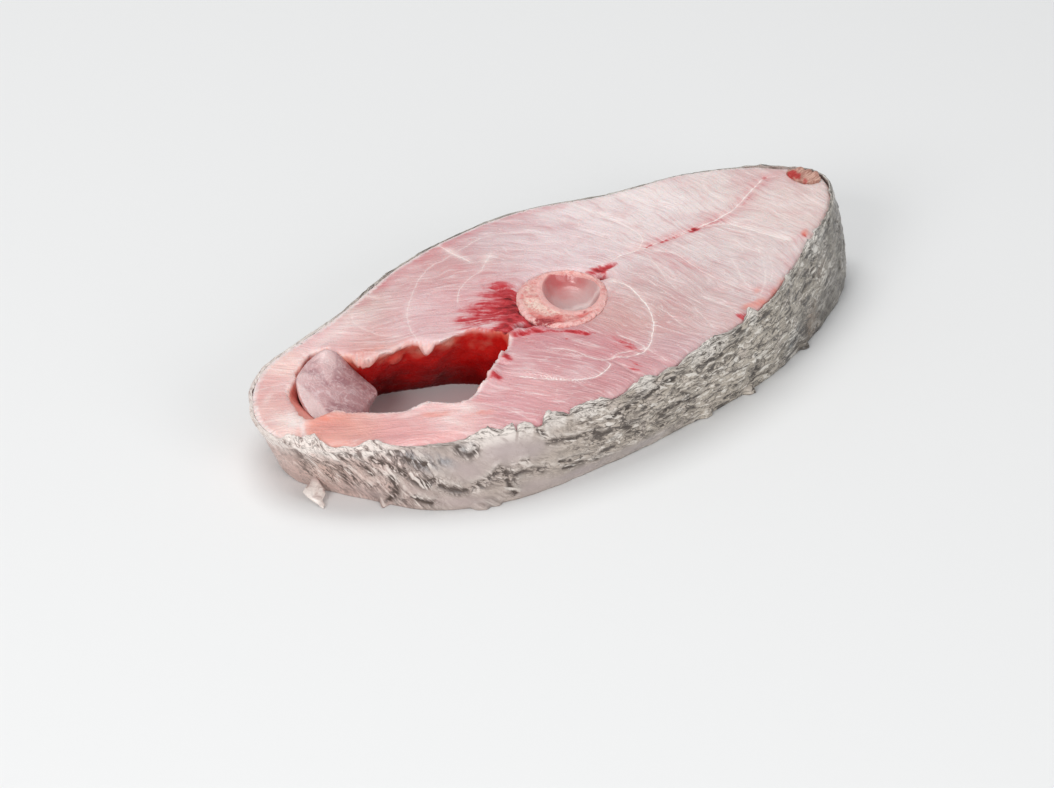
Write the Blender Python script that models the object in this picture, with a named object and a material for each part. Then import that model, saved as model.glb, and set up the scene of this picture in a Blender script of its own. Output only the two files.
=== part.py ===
"""Cross-cut croaker steak: a thick slice through the belly of the fish, lying flat on one cut face.

Frame: metres, +X towards the back of the fish, +Y across to the far flank, +Z up. The lower cut face is on z = 0.
Pieces: the ring of flesh round the belly cavity, the skin round it, the cut backbone in its socket, a lump of
belly fat standing in the end of the cavity, and the root of a back fin ray.
"""

import math

import bmesh
import bpy
import numpy as np

for old in list(bpy.data.objects):
    bpy.data.objects.remove(old, do_unlink=True)

MM = 0.001
GAP = 0.3 * MM

# The slice is a slight wedge: thinner at the belly, thicker at the back.
THICK_MIDDLE = 23.1 * MM
THICK_SLOPE = 0.05

SKIN_THICK = 1.2 * MM
FLANK_BULGE = 1.4 * MM
BULGE_FROM = -95.0 * MM
BULGE_OVER = 28.0 * MM
RIM_ROUND = 0.9 * MM
SKIN_FOOT = 0.03
SKIN_HEAD = 0.965

STEPS_PER_SPAN = 5

# Rings up the flank of the flesh: share of the height, and how far in from the flank in rim rounds.
FLESH_RINGS = (
    (0.0, 1.0),
    (0.05, 0.25),
    (0.14, 0.0),
    (0.36, 0.0),
    (0.62, 0.0),
    (0.86, 0.0),
    (0.95, 0.25),
    (1.0, 1.0),
)
SKIN_STEPS = 6

# Outline of the slice on the upper and the lower cut face, in millimetres, in matching pairs.
# It starts at the back of the fish, runs along the far flank to the belly and returns along the near flank.
OUTLINE = [
    ((106.0, -1.0), (108.0, -4.0)),
    ((98.0, 13.0), (99.5, 11.0)),
    ((77.0, 26.6), (78.0, 24.0)),
    ((52.0, 33.0), (52.5, 30.5)),
    ((30.0, 42.2), (30.0, 39.5)),
    ((8.0, 45.2), (8.0, 42.5)),
    ((-20.0, 42.8), (-20.0, 40.0)),
    ((-54.0, 32.2), (-52.0, 30.0)),
    ((-84.0, 25.0), (-77.0, 22.0)),
    ((-100.0, 11.5), (-91.0, 10.0)),
    ((-106.0, -4.5), (-96.0, -5.0)),
    ((-98.5, -20.5), (-88.5, -23.0)),
    ((-81.0, -35.5), (-77.0, -41.0)),
    ((-55.0, -47.5), (-55.0, -50.5)),
    ((-22.0, -53.0), (-22.0, -52.0)),
    ((10.0, -51.0), (12.0, -50.0)),
    ((38.0, -46.0), (41.0, -46.0)),
    ((60.0, -36.5), (64.0, -38.5)),
    ((80.0, -26.5), (84.0, -29.5)),
    ((98.0, -14.5), (101.5, -18.0)),
]

# Mouth of the belly cavity on the upper and the lower cut face, from its tip under the backbone round the far
# side.
CAVITY = [
    ((-24.0, -7.0), (-20.0, -2.0)),
    ((-31.0, 0.0), (-28.0, 8.0)),
    ((-41.0, 1.5), (-38.0, 12.5)),
    ((-47.0, 7.0), (-46.0, 16.0)),
    ((-57.0, 7.5), (-55.0, 17.5)),
    ((-63.0, 13.0), (-61.5, 19.0)),
    ((-67.5, 22.0), (-68.0, 20.0)),
    ((-77.0, 20.0), (-74.5, 17.0)),
    ((-86.0, 12.0), (-79.5, 10.5)),
    ((-91.0, 2.0), (-83.5, 1.0)),
    ((-93.0, -6.5), (-84.0, -8.0)),
    ((-86.0, -8.0), (-80.5, -13.0)),
    ((-79.0, -13.5), (-75.0, -19.0)),
    ((-71.0, -19.5), (-69.0, -24.0)),
    ((-63.0, -21.5), (-62.0, -28.0)),
    ((-57.0, -27.0), (-55.0, -30.0)),
    ((-47.0, -24.0), (-45.0, -27.0)),
    ((-36.0, -17.0), (-34.0, -20.0)),
    ((-28.0, -13.0), (-25.0, -12.0)),
]

# Shares of the height at which the cavity wall is drawn; the first and last lie past the cut faces.
CAVITY_LEVELS = (-0.12, 0.2, 0.5, 0.8, 1.12)

# Lump of belly fat: foot outline on z = 0 and the edge of its sloping top, which falls away from the far wall.
LUMP = [
    ((-59.0, 7.5), (-60.0, 12.0)),
    ((-64.5, 16.0), (-65.0, 16.5)),
    ((-71.5, 19.2), (-71.0, 16.0)),
    ((-79.8, 15.8), (-76.5, 11.5)),
    ((-86.8, 7.5), (-80.2, 4.0)),
    ((-89.0, -1.5), (-80.5, -3.0)),
    ((-83.0, -5.5), (-77.0, -6.0)),
    ((-74.0, -4.5), (-71.0, -4.0)),
    ((-65.0, -0.5), (-64.0, 1.0)),
    ((-59.5, 3.0), (-60.0, 6.0)),
]
LUMP_TOP_DROP = 0.42
LUMP_TOP_START = (-80.0 * MM, 12.0 * MM)
LUMP_FALL = (0.45, -0.89)
LUMP_DOME = 1.2 * MM
LUMP_CLEAR = 0.3 * MM
# Rings up the side of the lump: share of the height, and how far in from the side. Shrinking rings cross its top.
LUMP_RINGS = (
    (0.0, 0.8 * MM),
    (0.08, 0.0),
    (0.5, 0.0),
    (0.9, 0.0),
    (1.0, 0.9 * MM),
)
LUMP_TOP_SHRINKS = (0.62, 0.25)

# Backbone: outline of the centrum, and the hollow at each of its ends.
CENTRUM = [
    (15.5, -1.5),
    (13.0, 6.0),
    (6.0, 10.0),
    (-3.0, 8.8),
    (-10.0, 3.0),
    (-14.0, -6.0),
    (-11.5, -14.5),
    (-4.0, -18.0),
    (5.0, -16.0),
    (12.5, -9.5),
]
HOLLOW_AT = (5.6 * MM, -2.4 * MM)
HOLLOW_LONG = 12.0 * MM
HOLLOW_WIDE = 8.2 * MM
HOLLOW_DEEP = 5.0 * MM
HOLLOW_TURN = math.radians(55.0)
HOLLOW_ROUND = 32

FIN_AT = (100.2 * MM, 0.0)
FIN_HALF_X = 2.6 * MM
FIN_HALF_Y = 4.6 * MM
FIN_SIDES = 28

# Colour and roughness of each piece.
FLESH_PINK = (0.72, 0.44, 0.42), 0.35
SKIN_GREY = (0.30, 0.29, 0.27), 0.4
BONE_CREAM = (0.78, 0.60, 0.47), 0.45
FAT_LILAC = (0.70, 0.52, 0.51), 0.4
FIN_BROWN = (0.42, 0.27, 0.20), 0.45

# The outlines are drawn from the middle of the backbone; the part's own origin is the middle of its base.
BASE_MIDDLE = (1.48 * MM, -4.21 * MM, 0.0)
CUT_PAST = 3.0 * MM


def top_z(x):
    """Height of the upper cut face over a point."""
    return THICK_MIDDLE + THICK_SLOPE * x


def smooth_loop(points, steps):
    """Closed Catmull-Rom curve through the points, as an array in metres."""
    p = np.array(points, dtype=float) * MM
    before = np.roll(p, 1, axis=0)
    after = np.roll(p, -1, axis=0)
    beyond = np.roll(p, -2, axis=0)
    out = []
    for i in range(len(p)):
        for k in range(steps):
            t = k / steps
            a = 2.0 * p[i]
            b = (after[i] - before[i]) * t
            c = (2.0 * before[i] - 5.0 * p[i] + 4.0 * after[i] - beyond[i]) * t * t
            d = (3.0 * p[i] - before[i] - 3.0 * after[i] + beyond[i]) * t * t * t
            out.append(0.5 * (a + b + c + d))
    return np.array(out)


def pushed(loop, amount):
    """The loop moved outwards along its own normals; a negative amount moves it inwards."""
    along = np.roll(loop, -1, axis=0) - np.roll(loop, 1, axis=0)
    along /= np.linalg.norm(along, axis=1)[:, None]
    outward = np.stack([along[:, 1], -along[:, 0]], axis=1)
    return loop + outward * amount


def paired(pairs, steps):
    """Upper and lower loops from a list of matching pairs."""
    upper = smooth_loop([p[0] for p in pairs], steps)
    lower = smooth_loop([p[1] for p in pairs], steps)
    return upper, lower


outer_top, outer_foot = paired(OUTLINE, STEPS_PER_SPAN)


def level(upper, lower, t, push):
    """Ring of points a share t of the way from the lower face to the upper one."""
    loop = pushed(lower + (upper - lower) * t, push)
    return [(x, y, t * top_z(x)) for x, y in loop]


def flank_level(t, push):
    """Ring on the flank of the slice: it swells at half height, and hollows a little under the belly."""
    loop = outer_foot + (outer_top - outer_foot) * t
    share = np.clip((loop[:, 0] - BULGE_FROM) / BULGE_OVER, -0.5, 1.0)
    return level(outer_top, outer_foot, t, (FLANK_BULGE * math.sin(math.pi * t) * share + push)[:, None])


def loft(name, rings, caps):
    """Surface through rings of equal count: capped at both ends, or joined last to first like a tube."""
    bm = bmesh.new()
    rows = [[bm.verts.new(co) for co in ring] for ring in rings]
    n = len(rows[0])
    spans = list(zip(rows, rows[1:]))
    if not caps:
        spans.append((rows[-1], rows[0]))
    for low, high in spans:
        for i in range(n):
            j = (i + 1) % n
            bm.faces.new((low[i], low[j], high[j], high[i]))
    if caps:
        bm.faces.new(list(reversed(rows[0])))
        bm.faces.new(rows[-1])
    mesh = bpy.data.meshes.new(name)
    bm.to_mesh(mesh)
    bm.free()
    return mesh


steak = bpy.data.collections.new("croaker_steak")
cutters = bpy.data.collections.new("cutters")
bpy.context.scene.collection.children.link(steak)
bpy.context.scene.collection.children.link(cutters)
drawing = bpy.data.objects.new("drawing", None)
drawing.location = (-BASE_MIDDLE[0], -BASE_MIDDLE[1], -BASE_MIDDLE[2])
steak.objects.link(drawing)


def material(name, colour, roughness):
    """Plain Principled material."""
    mat = bpy.data.materials.new(name)
    mat.use_nodes = True
    shader = mat.node_tree.nodes["Principled BSDF"]
    shader.inputs["Base Color"].default_value = (*colour, 1.0)
    shader.inputs["Roughness"].default_value = roughness
    shader.inputs["Metallic"].default_value = 0.0
    return mat


def piece(name, mesh, mat):
    """A part of the steak."""
    obj = bpy.data.objects.new(name, mesh)
    obj.parent = drawing
    mesh.materials.append(mat)
    steak.objects.link(obj)
    return obj


def cutter(name, mesh):
    """A tool body, kept out of the steak itself."""
    obj = bpy.data.objects.new(name, mesh)
    obj.parent = drawing
    obj.display_type = "WIRE"
    obj.hide_render = True
    cutters.objects.link(obj)
    return obj


def cut(obj, tool):
    """Takes the tool out of the object."""
    mod = obj.modifiers.new("cut_" + tool.name, "BOOLEAN")
    mod.operation = "DIFFERENCE"
    mod.solver = "EXACT"
    mod.object = tool


def upright(loop, past):
    """Two rings of a straight-sided body, reaching past both cut faces by an amount that may be none."""
    foot = [(x, y, -past) for x, y in loop]
    head = [(x, y, top_z(x) + past) for x, y in loop]
    return [foot, head]


def oval_post(name, past, grow):
    """Upright oval post at the place of the fin root, with its head on the upper cut face."""
    bm = bmesh.new()
    bmesh.ops.create_cone(bm, cap_ends=True, segments=FIN_SIDES, radius1=1.0, radius2=1.0, depth=2.0)
    for v in bm.verts:
        v.co.x = FIN_AT[0] + (FIN_HALF_X + grow) * v.co.x
        v.co.y = FIN_AT[1] + (FIN_HALF_Y + grow) * v.co.y
        v.co.z = top_z(v.co.x) + past if v.co.z > 0.0 else -past
    mesh = bpy.data.meshes.new(name)
    bm.to_mesh(mesh)
    bm.free()
    return mesh


# Flesh: one thick ring of muscle, belly to back, cut flat above and below.
under_skin = -(SKIN_THICK + GAP)
flesh_rings = []
for share, rounds in FLESH_RINGS:
    flesh_rings.append(flank_level(share, under_skin - rounds * RIM_ROUND))
flesh = piece("flesh", loft("flesh", flesh_rings, True), material("flesh", *FLESH_PINK))

# The cavity goes right through; its far wall leans out under the upper face.
mouth_top, mouth_foot = paired(CAVITY, STEPS_PER_SPAN)
cavity_rings = [level(mouth_top, mouth_foot, share, 0.0) for share in CAVITY_LEVELS]
cut(flesh, cutter("cavity", loft("cavity", cavity_rings, True)))

# Skin: one strip all round the flank, just short of both cut faces. Its section runs up outside and down inside.
skin_levels = [SKIN_FOOT + (SKIN_HEAD - SKIN_FOOT) * step / SKIN_STEPS for step in range(SKIN_STEPS + 1)]
skin_rings = [flank_level(share, 0.0) for share in skin_levels]
skin_rings += [flank_level(share, -SKIN_THICK) for share in reversed(skin_levels)]
skin = piece("skin", loft("skin", skin_rings, False), material("skin", *SKIN_GREY))

# Backbone: the centrum runs right through the slice, hollowed at both ends.
centrum = smooth_loop(CENTRUM, STEPS_PER_SPAN)
backbone = piece("backbone", loft("backbone", upright(centrum, 0.0), True), material("bone", *BONE_CREAM))
for label, height in (("hollow_above", top_z(HOLLOW_AT[0])), ("hollow_below", 0.0)):
    ball = bmesh.new()
    bmesh.ops.create_uvsphere(ball, u_segments=HOLLOW_ROUND, v_segments=HOLLOW_ROUND // 2, radius=1.0)
    ball_mesh = bpy.data.meshes.new(label)
    ball.to_mesh(ball_mesh)
    ball.free()
    hollow = cutter(label, ball_mesh)
    hollow.scale = (HOLLOW_LONG, HOLLOW_WIDE, HOLLOW_DEEP)
    hollow.rotation_euler = (0.0, 0.0, HOLLOW_TURN)
    hollow.location = (HOLLOW_AT[0], HOLLOW_AT[1], height)
    cut(backbone, hollow)
cut(flesh, cutter("socket", loft("socket", upright(pushed(centrum, GAP), CUT_PAST), True)))

# Root of a back fin ray, standing in the flesh at the back of the fish.
fin_root = piece("fin_root", oval_post("fin_root", 0.0, 0.0), material("fin_root", *FIN_BROWN))
cut(flesh, cutter("fin_hole", oval_post("fin_hole", CUT_PAST, GAP)))

# Lump of belly fat: stands on its foot in the belly end of the cavity, its top sloping down into the cavity.
lump_top, lump_foot = paired(LUMP, STEPS_PER_SPAN)


def lump_height(x, y):
    """Height of the sloping top of the lump over a point."""
    fall = (x - LUMP_TOP_START[0]) * LUMP_FALL[0] + (y - LUMP_TOP_START[1]) * LUMP_FALL[1]
    return top_z(x) - LUMP_CLEAR - LUMP_TOP_DROP * max(fall, 0.0)


lump_rings = []
for share, inset in LUMP_RINGS:
    ring = pushed(lump_foot + (lump_top - lump_foot) * share, -inset)
    lump_rings.append([(x, y, share * lump_height(x, y)) for x, y in ring])
middle = np.mean(lump_top, axis=0)
for shrink in LUMP_TOP_SHRINKS:
    ring = middle + (lump_top - middle) * shrink
    rise = LUMP_DOME * (1.0 - shrink)
    lump_rings.append([(x, y, lump_height(x, y) + rise) for x, y in ring])
belly_lump = piece("belly_lump", loft("belly_lump", lump_rings, True), material("belly_lump", *FAT_LILAC))
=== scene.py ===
import math

import bmesh
import bpy
import numpy as np
from mathutils import Matrix, Vector
from mathutils.bvhtree import BVHTree
from mathutils.kdtree import KDTree


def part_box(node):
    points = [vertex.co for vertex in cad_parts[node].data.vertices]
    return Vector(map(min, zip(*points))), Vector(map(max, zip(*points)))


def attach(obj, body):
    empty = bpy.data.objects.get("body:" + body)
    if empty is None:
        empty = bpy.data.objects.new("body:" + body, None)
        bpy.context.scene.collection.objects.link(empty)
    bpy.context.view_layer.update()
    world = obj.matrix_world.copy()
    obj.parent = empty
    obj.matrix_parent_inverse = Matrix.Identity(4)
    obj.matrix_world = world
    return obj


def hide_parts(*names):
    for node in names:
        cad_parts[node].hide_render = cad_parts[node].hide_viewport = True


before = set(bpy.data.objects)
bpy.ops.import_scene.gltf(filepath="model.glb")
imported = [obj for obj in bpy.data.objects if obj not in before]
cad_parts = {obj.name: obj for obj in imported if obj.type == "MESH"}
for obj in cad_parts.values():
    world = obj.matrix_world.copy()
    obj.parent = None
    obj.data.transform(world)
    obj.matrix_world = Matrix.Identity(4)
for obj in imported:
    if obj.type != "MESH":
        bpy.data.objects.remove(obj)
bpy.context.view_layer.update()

# ---------------------------------------------------------------- Camera, floor and lamps
# The slice lies on a plain pale table. It is looked at from its near flank, a little over a metre off.
# One wide soft lamp hangs over and behind it, and two weaker ones fill the near side.

LOOK_AT = Vector((-0.03196, -0.02018, 0.012))
LOOK_TURN = math.radians(47.468)
LOOK_DOWN = math.radians(29.419)
LOOK_ROLL = math.radians(1.461)
LOOK_FROM = 1.1915
LENS_MM = 147.8
FILM_MM = 36
NEAREST_SEEN = 0.05
FARTHEST_SEEN = 30


def placed(name, data):
    """A new object in the scene."""
    obj = bpy.data.objects.new(name, data)
    bpy.context.scene.collection.objects.link(obj)
    return obj


ahead = Vector(
    (
        math.cos(LOOK_DOWN) * math.cos(LOOK_TURN),
        math.cos(LOOK_DOWN) * math.sin(LOOK_TURN),
        -math.sin(LOOK_DOWN),
    )
)
level_right = Vector((math.sin(LOOK_TURN), -math.cos(LOOK_TURN), 0))
level_up = level_right.cross(ahead)
right = level_right * math.cos(LOOK_ROLL) + level_up * math.sin(LOOK_ROLL)
up = right.cross(ahead)

camera = placed("camera", bpy.data.cameras.new("camera"))
camera.data.lens = LENS_MM
camera.data.sensor_width = FILM_MM
camera.data.sensor_fit = "HORIZONTAL"
camera.data.clip_start = NEAREST_SEEN
camera.data.clip_end = FARTHEST_SEEN
camera_turn = Matrix((right, up, -ahead)).transposed().to_4x4()
camera.matrix_world = Matrix.Translation(LOOK_AT - ahead * LOOK_FROM) @ camera_turn
bpy.context.scene.camera = camera
bpy.context.scene.view_settings.view_transform = "Standard"


def lamp(name, place, aim, size, watts, colour):
    """A square soft lamp at place, turned to face aim."""
    data = bpy.data.lights.new(name, "AREA")
    data.shape = "SQUARE"
    data.size = size
    data.energy = watts
    data.color = colour
    obj = placed(name, data)
    obj.location = place
    obj.rotation_euler = (Vector(aim) - Vector(place)).to_track_quat("-Z", "Y").to_euler()


lamp("lamp over", (0.05, 0.45, 1.35), (0, 0, 0), 0.9, 9, (1, 1, 0.99))
lamp("lamp left", (-1.3, -0.45, 0.7), (0, 0, 0.01), 0.6, 11, (1, 1, 0.99))
lamp("lamp near", (-0.1, -1.3, 0.45), (0, 0, 0.01), 0.8, 5.5, (1, 1, 1))


def feed(node, inputs):
    """Sets inputs of a shader node, each to a plain value or to what comes out of another node."""
    for name, value in inputs.items():
        socket = node.inputs[name]
        if hasattr(value, "socket"):
            tree.links.new(value.socket, socket)
        else:
            socket.default_value = (*value, 1) if socket.type == "RGBA" else value


def new_material(name):
    """A new material, whose node tree is then the one in hand."""
    global tree
    material = bpy.data.materials.new(name)
    material.use_nodes = True
    tree = material.node_tree
    return material


world = bpy.data.worlds.new("studio")
world.use_nodes = True
feed(world.node_tree.nodes["Background"], {"Color": (0.96, 0.98, 1), "Strength": 0.42})
bpy.context.scene.world = world

FLOOR_REACH = 4
floor_mesh = bpy.data.meshes.new("floor")
floor_corners = [(FLOOR_REACH * x, FLOOR_REACH * y, 0) for x, y in ((-1, -1), (1, -1), (1, 1), (-1, 1))]
floor_mesh.from_pydata(floor_corners, [], [(0, 1, 2, 3)])
floor = placed("floor", floor_mesh)
material = new_material("floor")
feed(tree.nodes["Principled BSDF"], {"Base Color": (0.8, 0.8, 0.8), "Roughness": 0.75})
floor_mesh.materials.append(material)

# ---------------------------------------------------------------- Flesh
# The slab is raw white muscle, cut across, with blood beside the backbone and a wet lining in the belly.
# It is a fine copy of its solid, shaped along the sheets of tissue that part the muscle, and painted by zone.

MM = 0.001
# Places on the cut face are counted in millimetres from a point in the backbone: +X goes to the back, and
# +Y to the far flank.
BONE_MIDDLE = (0.75, -3.93)
THICK_MIDDLE = 23.1
THICK_SLOPE = 0.05
bone_low, bone_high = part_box("backbone")
shift = np.array(
    (
        BONE_MIDDLE[0] - (bone_low.x + bone_high.x) / 2 / MM,
        BONE_MIDDLE[1] - (bone_low.y + bone_high.y) / 2 / MM,
        0,
    )
)


def top_at(x):
    """Height of the upper cut face, in millimetres."""
    return THICK_MIDDLE + THICK_SLOPE * x


def shape_of(mesh):
    """Places and outward directions at a mesh's vertices, in millimetres, and live xy, x, y and z of them."""
    found = []
    for rows, field in ((mesh.vertices, "co"), (mesh.vertex_normals, "vector")):
        flat = np.empty(len(mesh.vertices) * 3, np.float32)
        rows.foreach_get(field, flat)
        found.append(flat.reshape(-1, 3).astype(float))
    places = found[0] / MM + shift
    return places, found[1], places[:, :2], *places.T


def move_to(mesh, places):
    """Moves a mesh's vertices to places given in millimetres, none of them under the floor."""
    np.maximum(places[:, 2], 0, out=places[:, 2])
    mesh.vertices.foreach_set("co", ((places - shift) * MM).astype(np.float32).ravel())
    mesh.update()


def paint(mesh, name, *channels):
    """Keeps up to three numbers at each vertex for the shader to read."""
    values = np.zeros((len(mesh.vertices), 3), np.float32)
    for k, channel in enumerate(channels):
        values[:, k] = channel
    mesh.attributes.new(name, "FLOAT_VECTOR", "POINT").data.foreach_set("vector", values.ravel())


def ease(value, start, end):
    """0 at start, 1 at end, easing in between and flat beyond."""
    t = np.clip((value - start) / (end - start), 0, 1)
    return t * t * (3 - 2 * t)


def bell(value):
    """1 at 0, falling away on both sides."""
    return np.exp(-(value**2))


# Big odd numbers that scatter the cells, and the rounds that stir them: (bits to shift by, factor).
SCATTER = (73856093, 19349663, 83492791, 26544357)
STIR = ((13, 1274126177), (15, 668265263))
LAST_SHIFT = 14
HASH_TOP = 0x7FFFFFFF


def hashed(cells, seed):
    """One steady random number from 0 to 1 for each whole-number cell."""
    mixed = seed * SCATTER[3]
    for k in range(3):
        mixed = cells[..., k] * SCATTER[k] ^ mixed
    for bits, factor in STIR:
        mixed = ((mixed ^ (mixed >> bits)) * factor) & HASH_TOP
    return (mixed ^ (mixed >> LAST_SHIFT)) / HASH_TOP


def bumps(places, size, seed, layers=1):
    """Smooth random bumps from about -1 to 1. Size is the width of a bump, or one width for each axis."""
    total = 0
    for layer in range(layers):
        spots = places / np.asarray(size) * 2**layer
        cell = np.floor(spots).astype(np.int64)
        part = spots - cell
        part = part * part * (3 - 2 * part)
        for corner in np.ndindex(2, 2, 2):
            weight = np.where(corner, part, 1 - part).prod(1)
            total = total + 0.5**layer * weight * (2 * hashed(cell + corner, seed + layer) - 1)
    return total / (2 - 0.5 ** (layers - 1))


def turned(xy, spot, degrees):
    """How far each place is from a spot, along a direction and across it."""
    c = math.cos(math.radians(degrees))
    s = math.sin(math.radians(degrees))
    x, y = (xy - spot).T
    return x * c + y * s, y * c - x * s


def away_from(xy, spot):
    """How far each place is from a spot."""
    return np.hypot(*(xy - spot).T)


def patches(xy, ovals):
    """How far soft ovals cover each place: (x, y, half length, half width, turn in degrees, strength)."""
    clear = np.ones(len(xy))
    for *spot, long, wide, turn, strength in ovals:
        along, across = turned(xy, spot, turn)
        clear *= 1 - strength * np.exp(-((along / long) ** 2) - (across / wide) ** 2)
    return 1 - clear


def smooth_line(points, steps):
    """Open smooth curve through points."""
    p = np.array(points, float)
    p = np.vstack([2 * p[0] - p[1], p, 2 * p[-1] - p[-2]])
    out = []
    for k in range(steps * (len(p) - 3)):
        i = 1 + k // steps
        t = k % steps / steps
        bend = 2 * p[i - 1] - 5 * p[i] + 4 * p[i + 1] - p[i + 2]
        twist = 3 * p[i] - p[i - 1] - 3 * p[i + 1] + p[i + 2]
        out.append(0.5 * (2 * p[i] + (p[i + 1] - p[i - 1]) * t + bend * t**2 + twist * t**3))
    return np.array([*out, p[-2]])


FAR_OFF = 9.0
LINE_STEPS = 6


def line_marks(xy, lines, reach=4):
    """Signed half widths to the nearest of lines (strength, half width, points), and how it shows."""
    away = np.full(len(xy), FAR_OFF)
    mark = np.full(len(xy), FAR_OFF)
    shows = np.zeros(len(xy))
    for strength, half_width, *points in lines:
        curve = smooth_line(np.reshape(points, (-1, 2)), LINE_STEPS)
        near = np.flatnonzero(((xy > curve.min(0) - reach) & (xy < curve.max(0) + reach)).all(1))
        best = np.full(len(near), FAR_OFF)
        side = np.ones(len(near))
        along = np.zeros(len(near))
        for k in range(len(curve) - 1):
            span = curve[k + 1] - curve[k]
            offset = xy[near] - curve[k]
            t = np.clip(offset @ span / (span @ span), 0, 1)
            gap = offset - t[:, None] * span
            distance = np.hypot(*gap.T)
            closer = distance < best
            best[closer] = distance[closer]
            side[closer] = np.sign(span[0] * gap[:, 1] - span[1] * gap[:, 0])[closer]
            along[closer] = (k + t[closer]) / (len(curve) - 1)
        takes = best < away[near]
        chosen = near[takes]
        away[chosen] = best[takes]
        mark[chosen] = (side * best)[takes] / half_width
        ends = ease(along, 0, 0.1) * ease(along, 1, 0.88)
        shows[chosen] = (strength * ends * ease(best, reach, 0.4 * reach))[takes]
    return mark, shows


WELD = 1e-6


def welded(node):
    """The CAD solid's own mesh with its corners joined, ready to be read face by face."""
    solid = bmesh.new()
    solid.from_mesh(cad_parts[node].data)
    bmesh.ops.remove_doubles(solid, verts=solid.verts, dist=WELD)
    solid.normal_update()
    return solid


def fine_copy(node, name, cell):
    """A new object with the shape of a CAD solid, in even quads of the given size in millimetres."""
    solid = welded(node)
    rough = bpy.data.meshes.new(name + " rough")
    solid.to_mesh(rough)
    solid.free()
    holder = placed(name + " rough", rough)
    remesh = holder.modifiers.new("even quads", "REMESH")
    remesh.mode = "VOXEL"
    remesh.voxel_size = cell * MM
    graph = bpy.context.evaluated_depsgraph_get()
    mesh = bpy.data.meshes.new_from_object(holder.evaluated_get(graph))
    bpy.data.objects.remove(holder)
    mesh.name = name
    mesh.materials.clear()
    mesh.shade_smooth()
    return placed(name, mesh)


# The CAD flesh is read first: which of its faces are the cuts, and which belong to each wall.
CUT_LEVEL = 0.95
INNER_SPAN = 150
CAVITY_BEFORE = -40
RIM_STEP = 0.8
UPPER, LOWER, FLANK, CAVITY, SOCKET = range(5)
solid = welded("flesh")
solid.faces.ensure_lookup_table()
kind = np.full(len(solid.faces), -1)
for face in solid.faces:
    if abs(face.normal.z) > CUT_LEVEL:
        kind[face.index] = UPPER if face.normal.z > 0 else LOWER
for first in solid.faces:
    if kind[first.index] >= 0:
        continue
    wall = [first]
    kind[first.index] = FLANK
    for face in wall:
        for edge in face.edges:
            for other in edge.link_faces:
                if kind[other.index] < 0:
                    kind[other.index] = FLANK
                    wall.append(other)
    spots = np.array([vert.co.x for face in wall for vert in face.verts]) / MM + shift[0]
    span = np.ptp(spots)
    if span < INNER_SPAN:
        kind[[face.index for face in wall]] = CAVITY if spots.min() + span / 2 < CAVITY_BEFORE else SOCKET

rims = {FLANK: [], CAVITY: [], SOCKET: []}
for edge in solid.edges:
    first, second = sorted(kind[face.index] for face in edge.link_faces)
    if first == UPPER and second in rims:
        a, b = (np.array(vert.co) / MM + shift for vert in edge.verts)
        count = max(1, int(np.linalg.norm(b - a) / RIM_STEP))
        rims[second].extend(a + (b - a) * k / count for k in range(count))
solid_tree = BVHTree.FromBMesh(solid)


def rim_distance(xy, wall):
    """Distance in plan from each place to the edge where the upper cut face meets a wall, in millimetres."""
    rim = KDTree(len(rims[wall]))
    for k, spot in enumerate(rims[wall]):
        rim.insert((spot[0], spot[1], 0), k)
    rim.balance()
    return np.array([rim.find((x, y, 0))[2] for x, y in xy])


FLESH_CELL = 0.78
flesh = fine_copy("flesh", "cut_flesh", FLESH_CELL)
places, outward, xy, x, y, z = shape_of(flesh.data)
found = np.array([kind[solid_tree.find_nearest(Vector(p))[2]] for p in (places - shift) * MM])
solid.free()
top = top_at(x)
below = top - z

# The even quads step up and down along the cuts, so those vertices go back on to the true planes first.
on_top = found == UPPER
z[on_top] = top[on_top]
z[found == LOWER] = 0

to_flank = rim_distance(xy, FLANK)
to_cavity = rim_distance(xy, CAVITY)
to_bone = rim_distance(xy, SOCKET)

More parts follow.
